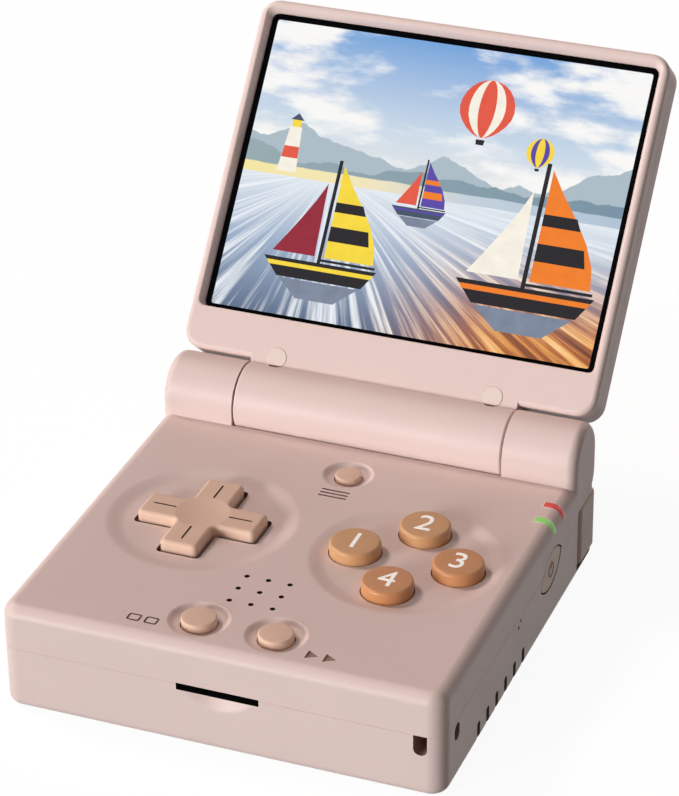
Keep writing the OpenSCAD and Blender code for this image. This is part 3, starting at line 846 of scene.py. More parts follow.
    def marks(self) -> list[Piece]:
        """Plain engraved signs beside the three small buttons, as cutters."""
        menu, select, start = (centre_of(f"{name}_button") for name in ("menu", "select", "start"))
        low, high = self.top - 0.2, self.top + OUT
        tools = [rounded_block("bar", (menu.x - 2.2, menu.y - 6.9 + step, low),
                               (menu.x + 2.2, menu.y - 6.55 + step, high), 0.17, segments=3)
                 for step in (0, 0.85, 1.7)]
        shifts = (0, 2.6)
        for shift in shifts:
            x, y = select.x - 9.6 + shift, select.y - 3.5
            square = rounded_block("square", (x, y, low), (x + 2.0, y + 1.7, high), 0.4)
            core = rounded_block("core", (x + 0.3, y + 0.3, low - OUT),
                                 (x + 1.7, y + 1.4, high + OUT), 0.2)
            tools.append(cut(square, core))
        for shift in shifts:
            spot = (start.x + 6.2 + shift, start.y - 2.9, high)
            triangle = add_bar("triangle", spot, 1.15, (high - low) * 2, Way.Z, 3)
            tools.append(turn_about(triangle, spot, -math.pi / 2, Way.Z))
        return tools

    def leaf(self, name: str, grow: float, start: float, end: float) -> Piece:
        """The leaf of the power button: two round bars, kept where they overlap, and tilted.

        Args:
            name: Name of the piece.
            grow: How far the outline is grown.
            start: Inner end, left to right.
            end: Outer end.

        Returns:
            The leaf.
        """
        y, rise = centre_of("power_button").y, self.leaf_rise
        radius = (self.leaf_half * self.leaf_half + rise * rise) / (2 * rise)
        forms = [add_bar(name, ((start + end) / 2, y, self.leaf_z + sign * (radius - rise)),
                         radius + grow, end - start, Way.X, 192) for sign in (1, -1)]
        return turn_about(combine(forms[0], Join.KEEP, forms[1]), (0, y, self.leaf_z),
                          math.radians(self.leaf_tilt), Way.X)

    def leaf_hole(self) -> Piece:
        """The power button's hole in the right wall, as a cutter."""
        return self.leaf("leaf", self.leaf_gap, 30, 35)

    def window_slot(self, node: str, grow: float) -> Piece:
        """The slot that a light window fills."""
        low, high = box_of(node)
        return add_block("window_slot", (low.x - grow, low.y - grow, low.z - grow),
                         (self.side + OUT, high.y + grow, self.top + OUT))

    def rear_pockets(self) -> list[Piece]:
        """The pockets of the rear buttons and the hole of the charging port, as cutters."""
        low, high = box_of("shoulder_button_right")
        corner = add_block("corner", (low.x - 0.3, low.y - 1.2, low.z - 0.15),
                           (self.side + OUT, self.back + OUT, high.z + 0.4))
        # The corner pockets' walls take painted shade.
        corner.data.materials.append(RECESS_PAINTED_SHADE.material())
        low, high = box_of("inner_trigger_right")
        inner = rounded_block("inner", (low.x + 0.35, self.back - 3, low.z + 0.35),
                              (high.x - 0.25, self.back + OUT, high.z - 0.15), 0.5, way=Way.Y)
        port_z, half, height = centre_of("usb_port").z, 4.62, 1.76
        port = rounded_block("port", (-half, self.back - 9, port_z - height),
                             (half, self.back + OUT, port_z + height), 1.75, way=Way.Y)
        return [corner, mirrored(corner, "corner_left"), inner, mirrored(inner, "inner_left"), port]

    def card_slot(self) -> Piece:
        """The memory card's slot, as a cutter."""
        half, height = self.slot_width / 2, self.slot_height / 2
        middle = centre_of("card_socket").z + 0.3
        return rounded_block("slot", (-half, self.front - OUT, middle - height),
                             (half, self.front + 3, middle + height), 0.12, way=Way.Y, segments=3)

    def volume_holes(self) -> list[Piece]:
        """The holes of the volume buttons in the left wall, as cutters."""
        boxes = [box_of(f"volume_{way}_button") for way in ("up", "down")]
        return [rounded_block("volume", (-self.side - OUT, low.y + 0.25, low.z + 0.05),
                              (-self.side + 4, high.y - 0.25, high.z - 0.55), 0.6, way=Way.X)
                for low, high in boxes]

    def hollow_upper(self, shell: Piece) -> None:
        """Cuts the upper shell's rooms and the trough of the hinge barrel."""
        cut(shell,
            add_block("room", (-self.inside, self.front + self.wall, self.seam - OUT),
                      (self.inside, 23.6, self.ceiling)),
            add_block("rear_room", (-18.6, 22.7, self.seam - OUT), (18.6, 32.5, 11.8)))
        trough = self.barrel + 0.3
        cut(shell, add_bar("trough", HINGE, trough, 2 * self.knuckle, Way.X, 128),
            add_block("behind", (-self.knuckle, HINGE.y + OUT, HINGE.z - trough),
                      (self.knuckle, self.back + OUT, HINGE.z + 9)),
            add_bar("bore", HINGE, self.barrel - 2, 2 * self.inside, Way.X))

    def build_upper(self) -> None:
        """The upper shell with its knuckles, dishes and holes."""
        shell = self.outer("upper_shell", self.seam, self.top, self.edge, 0)
        knuckle = self.knuckle_form()
        combine(shell, Join.ADD, knuckle, mirrored(knuckle, "knuckle_left"))
        self.hollow_upper(shell)
        keys = (centre_of("face_button_left") + centre_of("face_button_right")) / 2
        cut(shell, self.dish_form(centre_of("direction_pad")), self.dish_form(keys))
        # The walls of the pad's hole and the button holes below take painted shade.
        cut(shell, *self.pad_hole(), lining=RECESS_PAINTED_SHADE)
        for place in ("top", "left", "right", "bottom"):
            cut(shell, self.round_hole(f"face_button_{place}", self.key_hole, 96), lining=RECESS_PAINTED_SHADE)
        for node in ("menu_button", "select_button", "start_button"):
            cut(shell, self.recess_form(node))
            cut(shell, self.round_hole(node, self.cap_radius(node) + 0.15, 64), lining=RECESS_PAINTED_SHADE)
        grille = centre_of("speaker")
        steps = [step * self.grille_pitch for step in (-1, 0, 1)]
        holes = [add_bar("hole", (x, grille.y + y, self.top), self.grille_hole, 8, Way.Z, 24)
                 for x in steps for y in steps]
        # Painted shade on the walls of the speaker holes and the engraved signs.
        cut(shell, gather(holes, "grille"), lining=DEEP_PAINTED_SHADE)
        cut(shell, gather(self.marks(), "marks"), lining=MILD_PAINTED_SHADE)
        for node in ("led_window_green", "led_window_red"):
            cut(shell, self.window_slot(node, self.window_rim + self.window_fit))
        # Painted shade in the power button's gap, and near-black painted shade in the card slot.
        cut(shell, self.leaf_hole(), lining=DEEP_PAINTED_SHADE)
        cut(shell, self.card_slot(), lining=SLOT_PAINTED_SHADE)
        cut(shell, *self.rear_pockets(), *self.volume_holes())
        self.hand_over(smooth(shell), "base", SHELL, "shell_pink", "base_upper_shell")

    def lanyard(self) -> list[Piece]:
        """The two mouths of the lanyard tunnel, as cutters: a D in front, a slot at the side."""
        left, width, near = self.side - 4.4, 2.0, self.front + 4.4
        round_off, low = 0.95, 6.8
        front = add_block("mouth", (left, self.front - OUT, low), (left + width, near + width, 10))
        round_edges(front, lambda edge: runs_along(Way.Y)(edge)
                    and edge.verts[0].co.z / MM < low + 0.2, round_off)
        side = rounded_block("mouth", (left + 0.1, near, low - 0.1),
                             (self.side + OUT, near + width, 9.35), round_off, way=Way.X)
        return [front, side]

    def scoop_form(self) -> Piece:
        """The shallow round hollow under the card slot, as a cutter that enters from the front."""
        ball, reach, height, lip, steps = 14.0, 12.1, 13.43, 8.93, 12
        wide = math.sqrt(ball ** 2 - reach ** 2)
        radii = [wide * (1 - step / steps) for step in range(steps)]
        rings = [(wide, -OUT)] + [(radius, math.sqrt(ball ** 2 - radius ** 2) - reach)
                                  for radius in radii]
        form = turn_about(turned("scoop", 0, 0, rings, 192), (0, 0, 0), -math.pi / 2, Way.X)
        form.location = Vector((0, self.front, height)) * MM
        below = add_block("below", (-8, self.front - OUT, 5), (8, self.front + 2, lip))
        return combine(settle(form, "scoop"), Join.KEEP, below)

    def build_lower(self) -> None:
        """The lower shell with its posts, scoop, vents and openings."""
        shell = self.outer("lower_shell", 0, self.seam, 0, self.low_edge)
        cut(shell, add_block("room", (-self.inside, self.front + self.wall, self.wall),
                             (self.inside, self.back - self.wall, self.seam + OUT)))
        screws = [(24.5, -28.5), (-24.5, -28.5), (13.2, 27.4), (-13.2, 27.4)]
        posts = [add_bar("post", (x, y, 4.9), 2.9, 9, Way.Z, 48) for x, y in screws]
        combine(shell, Join.ADD, *posts, add_block("lug", (27.6, -33, 1), (32, -26.6, self.seam)))
        cut(shell, *[add_bar("well", (x, y, 0), 2.05, 4, Way.Z, 64) for x, y in screws],
            *[add_bar("bore", (x, y, 7), 1.1, 12, Way.Z, 32) for x, y in screws])
        vents = [rounded_block("vent", (30, -0.8 - step * self.vent_pitch, -OUT),
                               (34, 0.4 - step * self.vent_pitch, 3.6), 0.4, way=Way.X, segments=4)
                 for step in range(self.vents)]
        holes = [add_bar("pin", (self.side, y, z), 0.3, 4, Way.X, 20)
                 for y, z in ((-1.5, 9.1), (-2.36, 8.35))]
        holes.append(add_bar("jack", (-self.side, -18, 7.7), 1.8, 8, Way.X, 64))
        # Painted shade on the walls of the vents and the side holes.
        cut(shell, gather(vents, "vents"), lining=VENT_PAINTED_SHADE)
        cut(shell, gather(holes, "side_holes"), lining=DEEP_PAINTED_SHADE)
        cut(shell, self.scoop_form())
        # Painted shade in the card slot, the lanyard mouths and the power button's gap.
        cut(shell, self.card_slot(), lining=SLOT_PAINTED_SHADE)
        cut(shell, *self.lanyard(), lining=MILD_PAINTED_SHADE)
        cut(shell, self.leaf_hole(), lining=DEEP_PAINTED_SHADE)
        cut(shell, *self.rear_pockets())
        self.hand_over(smooth(shell), "base", SHELL, "shell_pink", "base_lower_shell")

    def proud_form(self, name: str, proud: float) -> Piece:
        """The right half of the base's outer form, grown a little."""
        return rounded_block(name, (0, self.front, 8),
                             (self.side + proud, self.back, self.top + proud),
                             self.corner, self.edge + 0.05)

    def build_windows(self) -> None:
        """The two light windows, which follow the rounded edge and stand a little proud."""
        for colour, finish in (("green", GREEN_WINDOW), ("red", RED_WINDOW)):
            name, node = f"light_window_{colour}", f"led_window_{colour}"
            window = combine(self.proud_form(name, 0.07), Join.KEEP, self.window_slot(node, 0))
            round_edges(window, lambda edge: is_sharp(edge, 60), 0.1, 2)
            self.hand_over(smooth(window), "base", finish, f"lens_{colour}", node)
            # Each window's rim is painted pale as a highlight.
            rim = combine(self.proud_form(f"{name}_rim", 0.03), Join.KEEP,
                          self.window_slot(node, self.window_rim))
            cut(rim, self.window_slot(node, self.window_fit))
            self.hand_over(smooth(rim), "base", WINDOW_RIM_PAINTED_HIGHLIGHT, "shell_pink")

    def build(self) -> None:
        """Builds both shells and the light windows."""
        self.build_upper()
        self.build_lower()
        self.build_windows()


@dataclass
class TopButtons(SubAssembly):
    """The direction pad, the four face buttons and the three small ones.

    Attributes:
        base: The base, which says how wide the small caps are.
        pad_length: Direction pad, tip to tip.
        pad_arm: Width of an arm.
        pad_corner: Radius of the arms' upright corners.
        pad_rim: Rounding of the pad's top rim.
        pad_hollow: Radius of the hollow in the pad's top.
        pad_sink: Depth of that hollow.
        pad_spare: Room kept between the rocked pad and the shut lid.
        key: Radius of a face button.
        key_round: Rounding of a button's rim.
        flange: Thickness of the flange under the shell.
        numeral: Height of a printed numeral.
    """

    base: Base = field(default_factory=Base)
    pad_length: float = 18.4
    pad_arm: float = 5.8
    pad_corner: float = 0.8
    pad_rim: float = 0.65
    pad_hollow: float = 30.0
    pad_sink: float = 0.28
    pad_spare: float = 0.12
    key: float = 3.75
    key_round: float = 0.45
    flange: float = 1.1
    numeral: float = 3.9

    def cross(self, x: float, y: float, low: float, high: float) -> Piece:
        """The pad's cross: a block whose four sides are drawn out to arms.

        Args:
            x: Middle, left to right.
            y: Middle, front to back.
            low: Height of its underside.
            high: Height of its top.

        Returns:
            The cross.
        """
        half, arm = self.pad_length / 2, self.pad_arm / 2
        pad = add_block("cross_pad", (x - arm, y - arm, low), (x + arm, y + arm, high))
        for way in (Vector((1, 0, 0)), Vector((-1, 0, 0)), Vector((0, 1, 0)), Vector((0, -1, 0))):
            with editing(pad, "FACE"):
                pick(pad, "faces", middle_of_side(way, Vector((x, y, 0)), arm))
                extrude(way * (half - arm) * MM)
        with editing(pad, "FACE"):
            bpy.ops.mesh.select_all(action="SELECT")
            bpy.ops.mesh.dissolve_limited(angle_limit=math.radians(1))
        return pad

    def build_pad(self) -> None:
        """The direction pad: a cross with a hollow top, four engraved lines and a flange."""
        low, high = box_of("direction_pad")
        x, y = (low.x + high.x) / 2, (low.y + high.y) / 2
        high.z -= self.pad_spare
        pad = self.cross(x, y, low.z, high.z)
        round_edges(pad, lambda edge: runs_along(Way.Z)(edge) and is_sharp(edge), self.pad_corner)
        pad.data.materials.append(TAN.material())
        round_edges(pad, rim_at(Way.Z, high.z), self.pad_rim)
        deselect_all()
        bpy.ops.mesh.primitive_uv_sphere_add(
            segments=144, ring_count=96, radius=self.pad_hollow * MM,
            location=Vector((x, y, high.z + self.pad_hollow - self.pad_sink)) * MM)
        cut(pad, settle(bpy.context.active_object, "hollow"))
        line = rounded_block("line", (x + 4.1, y - 0.15, high.z - 0.22),
                             (x + 7.7, y + 0.15, high.z + OUT), 0.14, segments=4)
        lines = [line] + [turn_about(copied(line, "line"), (x, y, 0), turn * math.pi / 2, Way.Z)
                          for turn in (1, 2, 3)]
        # The engraved lines' walls take painted shade.
        cut(pad, gather(lines, "lines"), lining=RECESS_PAINTED_SHADE)
        combine(pad, Join.ADD, add_bar("flange", (x, y, low.z + 0.4), (high.x - low.x) / 2, 0.8))
        self.hand_over(smooth(pad), "direction_pad", TAN, "button_tan", "direction_pad")

    def cap(self, name: str, node: str, radius: float, round_off: float, dome: float) -> Piece:
        """A round cap over its flange, at the place of a CAD button.

        Args:
            name: Name of the piece.
            node: CAD button that gives the place, the height and the flange.
            radius: Radius of the cap.
            round_off: Rounding of the rim.
            dome: Rise of the middle above the rim.

        Returns:
            The cap.
        """
        low, high = box_of(node)
        spot, wide, rim = (low + high) / 2, (high.x - low.x) / 2, high.z - dome
        rings = [(wide, low.z), (wide, low.z + self.flange), (radius, low.z + self.flange)]
        rings += quarter(radius, rim, round_off)
        rings += [(radius * 0.6, rim + dome * 0.5), (radius * 0.3, high.z - dome * 0.1),
                  (radius * 0.05, high.z)]
        return smooth(turned(name, spot.x, spot.y, rings))

    def build_numeral(self, body: str, text: str) -> None:
        """A printed numeral on a face button.

        Args:
            body: The button's body and node.
            text: The numeral.
        """
        low, high = box_of(body)
        deselect_all()
        bpy.ops.object.text_add(location=(0, 0, 0))
        letter = bpy.context.active_object
        letter.data.body = text
        letter.data.align_x = "CENTER"
        letter.data.align_y = "CENTER"
        letter.data.size = self.numeral * 1.42 * MM
        letter.data.extrude = 0.05 * MM
        activate(letter)
        bpy.ops.object.convert(target="MESH")
        numeral = bpy.context.active_object
        numeral.location = Vector(((low.x + high.x) / 2, (low.y + high.y) / 2, high.z - 0.015)) * MM
        settle(numeral, f"numeral_{text}")
        # The numeral's glow is painted light.
        self.hand_over(numeral, body, WHITE_PRINT_PAINTED_GLOW, "pad_clear")

    def build_keys(self) -> None:
        """The four face buttons with their numerals, the left and the rear one lighter."""
        keys = {f"face_button_{place}": f"key_{place}" for place in ("left", "top", "right", "bottom")}
        cap = self.cap("key_left", "face_button_left", self.key, self.key_round, 0.02)
        finishes = (HONEY, HONEY, CARAMEL, CARAMEL)
        for number, (node, key) in enumerate(zip(keys, repeated(cap, keys))):
            self.hand_over(key, node, finishes[number], "button_caramel", node)
            self.build_numeral(node, str(number + 1))

    def build(self) -> None:
        """Builds the pad and all the buttons of the top."""
        self.build_pad()
        self.build_keys()
        for names in (("select", "start"), ("menu",)):
            places = {f"{name}_button": f"{name}_cap" for name in names}
            first = next(iter(places))
            cap = self.cap(places[first], first, self.base.cap_radius(first), 0.28, 0.04)
            for node, piece in zip(places, repeated(cap, places)):
                self.hand_over(piece, node, TAN, "button_tan", node)


@dataclass
class SideButtons(SubAssembly):
    """The power button, the volume buttons and the four rear buttons.

    Attributes:
        base: The base, whose leaf outline the power button repeats.
        plate: Thickness of a rear corner button.
        ring: Radius of the sign on the power button.
        stroke: Half the width of the sign's lines.
    """

    base: Base = field(default_factory=Base)
    plate: float = 1.7
    ring: float = 1.05
    stroke: float = 0.17

    def build_power(self) -> None:
        """The leaf-shaped power button and its ring-and-bar sign."""
        low, high = box_of("power_button")
        y, z, face = (low.y + high.y) / 2, self.base.leaf_z, self.base.side - 0.02
        leaf = self.base.leaf("power_leaf", 0, low.x, face)
        round_edges(leaf, rim_at(Way.X, face), 0.12, 3)
        flange = rounded_block("flange", (low.x + 0.1, low.y + 0.1, low.z + 0.1),
                               (low.x + 0.8, high.y - 0.1, high.z - 0.1), 0.5, way=Way.X)
        combine(leaf, Join.ADD, flange)
        self.hand_over(smooth(leaf), "power_button", FLUSH_PINK, "button_mauve", "power_button")
        proud = 0.04
        ring = add_bar("power_sign", (face, y, z), self.ring + self.stroke, 2 * proud, Way.X, 64)
        cut(ring, add_bar("core", (face, y, z), self.ring - self.stroke, 1, Way.X, 64),
            add_block("gap", (face - OUT, y - 0.42, z), (face + OUT, y + 0.42, z + 2.7)))
        stroke = rounded_block("stroke", (face - proud, y - self.stroke, z + 0.1),
                               (face + proud, y + self.stroke, z + 1.45), 0.15, way=Way.X,
                               segments=3)
        sign = gather([ring, stroke], "power_sign")
        self.hand_over(smooth(sign), "power_button", BROWN_PRINT, "button_mauve")

    def build_volume(self) -> None:
        """The two volume buttons in the left wall."""
        places = {"volume_up_button": "volume_up", "volume_down_button": "volume_down"}
        low, high = box_of("volume_up_button")
        cap = rounded_block("volume_up", (low.x, low.y + 0.42, low.z + 0.2),
                            (low.x + 2.3, high.y - 0.42, high.z - 0.7), 0.5, 0, 0.3, Way.X)
        flange = rounded_block("flange", (high.x - 0.9, low.y, low.z), tuple(high), 0.3, way=Way.X)
        combine(cap, Join.ADD, flange)
        for node, piece in zip(places, repeated(smooth(cap), places)):
            self.hand_over(piece, node, TAN, "button_tan", node)

    def build_corner(self) -> None:
        """The bent plates of the rear corners, each with its pin sleeve."""
        low, high = box_of("shoulder_button_right")
        plate = rounded_block("shoulder_plate_right", tuple(low),
                              (high.x + 0.25, high.y + 0.15, high.z), 1.5, 0.8, 0.35)
        cut(plate, add_block("hollow", (low.x - OUT, low.y - OUT, low.z - OUT),
                             (high.x - self.plate, high.y - self.plate, high.z + OUT)))
        round_edges(plate, rim_at(Way.Y, low.y), 0.7, 4)
        round_edges(plate, rim_at(Way.X, low.x), 0.5, 2)
        x, y = low.x + 2, centre_of("shoulder_pins").y
        sleeve = add_bar("sleeve", (x, y, (low.z + high.z) / 2), 1.7, high.z - low.z, Way.Z, 64)
        web = add_block("web", (x - 0.8, y, low.z + 0.9), (x + 0.8, high.y - 1.5, high.z - 0.9))
        combine(plate, Join.ADD, sleeve, web)
        cut(plate, add_bar("bore", (x, y, 7), 0.8, 20, Way.Z, 48))
        self.hand_over_pair(plate, "shoulder_button", "shoulder_plate_left", REAR_TAN)

    def build_trigger(self) -> None:
        """The inner rear buttons, each a plate with rounded edges over its flange."""
        low, high = box_of("inner_trigger_right")
        plate = rounded_block("trigger_right", (low.x + 0.6, low.y + 0.8, low.z + 0.6),
                              (high.x - 0.5, high.y, high.z - 0.4), 0.45, 0.4, 0, Way.Y)
        combine(plate, Join.ADD, add_block("flange", tuple(low), (high.x, low.y + 1, high.z)))
        self.hand_over_pair(plate, "inner_trigger", "trigger_left", REAR_TAN)

    def build(self) -> None:
        """Builds the buttons of the sides and the rear."""
        self.build_power()
        self.build_volume()
        self.build_corner()
        self.build_trigger()


@dataclass
class Lid(SubAssembly):
    """The lid's two shells and its bumper pads, made shut about the hinge axis.

    Attributes:
        side: Half the width.
        length: Distance of the far edge from the hinge axis.
        wing: Distance of the wings' near edge from the hinge axis.
        rim: Height of the inner face.
        split: Height of the parting line.
        back: Height of the outer face.
        corner: Radius of the corners.
        edge: Rounding of the rim of the inner face.
        outer_edge: Rounding of the outer face.
        seam_line: Depth of the fine groove at the parting line.
        sink: Depth of the glass under the inner face.
        lip: Width of the window's sloped lip at the rim.
        chin_lip: Rounding of the window's lip at the chin.
        soft: Rounding of the sloped lip.
        window_side: Half the width of the window.
        window_near: Near edge of the window.
        window_far: Far edge of the window.
        barrel: Radius of the barrel.
        barrel_half: Half the length of the barrel.
        bumper: Radius of a bumper pad.
        bumper_x: Place of a bumper pad, left to right.
        bumper_v: Distance of a bumper pad from the hinge axis.
    """

    side: float = 33.0
    length: float = 62.0
    wing: float = 5.85
    rim: float = -1.8
    split: float = 1.6
    back: float = 5.45
    corner: float = 3.0
    edge: float = 0.8
    outer_edge: float = 1.2
    seam_line: float = 0.09
    sink: float = 1.3
    lip: float = 0.64
    chin_lip: float = 0.3
    soft: float = 0.14
    window_side: float = 31.25
    window_near: float = 12.5
    window_far: float = 60.1
    barrel: float = 5.45
    barrel_half: float = 21.33
    bumper: float = 1.6
    bumper_x: float = 17.3
    bumper_v: float = 6.35

    def lip_rings(self) -> list[Triple]:
        """The window's outline at rising steps: height, growth, and how much less at the chin."""
        rings = [(self.rim + self.sink - share * (self.sink - self.soft),
                  share * (self.lip - 0.1), 0.0) for share in (0.08, 0.9)]
        turns = [math.pi / 2 * step / 4 for step in range(1, 5)]
        rings += [(self.rim + self.soft * (1 - math.sin(turn)),
                   self.lip + self.soft * (1 - math.cos(turn)),
                   self.chin_lip * (1 - math.cos(turn))) for turn in turns]
        return rings + [(self.rim - OUT, self.lip + 2 * self.soft, self.chin_lip)]

    def window_form(self) -> Piece:
        """The window's cutter: upright walls, then a slope out to the rim, and rounded lips."""
        floor, tall = self.rim + self.sink, self.window_far - self.window_near
        piece = rounded_block("window", (-self.window_side, -self.window_far, floor),
                              (self.window_side, -self.window_near, self.back), 1.1)
        height, grown, lowered = floor, 0.0, 0.0
        with editing(piece, "FACE"):
            pick(piece, "faces", lambda face: face.normal.z < -FACING)
            for high, wide, near in self.lip_rings():
                extrude((0, 0, (high - height) * MM))
                scale = ((self.window_side + wide) / (self.window_side + grown),
                         (tall + wide + near) / (tall + grown + lowered), 1)
                middle = (lowered - self.window_near - self.window_far - grown) / 2
                bpy.ops.transform.resize(value=scale,
                                         center_override=Vector((0, middle, high)) * MM)
                bpy.ops.transform.translate(
                    value=(0, ((near - lowered) - (wide - grown)) / 2 * MM, 0))
                height, grown, lowered = high, wide, near
        return face_outwards(piece)

    def shell(self, name: str, low: float, high: float, top: float, bottom: float) -> Piece:
        """A shell of the lid between two heights, with the groove at the parting line."""
        shell = rounded_block(name, (-self.side, -self.length, low), (self.side, -self.wing, high),
                              self.corner, top, bottom)
        return round_edges(shell, rim_at(Way.Z, self.split), self.seam_line, 2)

    def build_frame(self) -> None:
        """The front frame: the rim round the window, the chin and the hinge barrel."""
        shell = self.shell("lid_frame", self.rim, self.split, 0, self.edge)
        barrel = add_bar("barrel", (0, 0, 0), self.barrel, 2 * self.barrel_half, Way.X, 128)
        round_edges(barrel, lambda edge: is_sharp(edge, 60), 0.3, 3)
        web = add_block("web", (-self.barrel_half, -self.wing - 2, self.rim),
                        (self.barrel_half, 0, self.back))
        combine(shell, Join.ADD, barrel, web)
        cut(shell, self.window_form())
        for sign in (-1, 1):
            cut(shell, add_bar("seat", (sign * self.bumper_x, -self.bumper_v, self.rim),
                               self.bumper + 0.02, 1.5, Way.Z, 64),
                add_bar("bore", (sign * self.barrel_half, 0, 0), 2.3, 8, Way.X, 64))
        self.hand_over(smooth(open_lid(shell)), "lid", SHELL, "shell_pink", "lid_front_frame")

    def build_cover(self) -> None:
        """The rear cover, hollow, with a notch for the barrel's web."""
        shell = self.shell("lid_cover", self.split, self.back, self.outer_edge, 0)
        wall = 1.6
        cut(shell, add_block("room", (-self.side + wall, -self.length + wall, self.split - OUT),
                             (self.side - wall, -self.wing - 2.1, self.back - 1.35)),
            add_block("notch", (-self.barrel_half - 0.05, -self.wing - 2.05, self.split - OUT),
                      (self.barrel_half + 0.05, OUT, self.back + OUT)))
        self.hand_over(smooth(open_lid(shell)), "lid", SHELL, "shell_pink", "lid_rear_cover")

    def build_bumpers(self) -> None:
        """The two round pads that meet the base, with the barrel's curve cut out of them."""
        proud = 0.12
        profile = [(0, 0.75), (0, 0.12), (0.05, 0.04), (0.14, 0.0)]
        pad = turned("bumper", self.bumper_x, -self.bumper_v,
                     [(self.bumper - less, self.rim - proud + rise) for less, rise in profile], 64)
        cut(pad, add_bar("curve", (0, 0, 0), self.barrel + 0.05, 2 * self.side, Way.X, 128))
        pair = gather([pad, mirrored(pad, "bumper_left")], "lid_bumpers")
        self.hand_over(smooth(open_lid(pair)), "lid", PALE_PAD, "pad_clear", "bumper_pads")

    def build(self) -> None:
        """Builds the lid's shells and pads."""
        self.build_frame()
        self.build_cover()
        self.build_bumpers()


def lit_material(name: str) -> tuple[bpy.types.Material, Graph, Any]:
    """Starts a material that shines by itself, as a lit display does.

    Args:
        name: Name of the material.

    Returns:
        The material, its graph and its shader.
    """
    material, graph, shader = new_material(name)
    graph.fill(shader, {"Base Color": (0.0, 0.0, 0.0, 1.0), "Roughness": 0.4,
                        "Specular IOR Level": 0.1, "Emission Strength": 1.0})
    return material, graph, shader


@dataclass(frozen=True)
class Flat:
    """A plain self-lit colour in the picture, with a slight drift of tone.

    Attributes:
        name: Name of the material.
        colour: Screen colour, 0 to 255.
        drift: How far the tone wanders.
    """

    name: str
    colour: Triple
    drift: float = 0.25

    @cache
    def material(self) -> bpy.types.Material:
        """Makes the material once."""
        material, graph, shader = lit_material(self.name)
        colour = graph.place(tone_drift(), {"Vector": graph.object_place(), "Size": 2.0,
                                            "Colour": linear(self.colour), "Amount": self.drift})
        graph.fill(shader, {"Emission Color": colour})
        return material


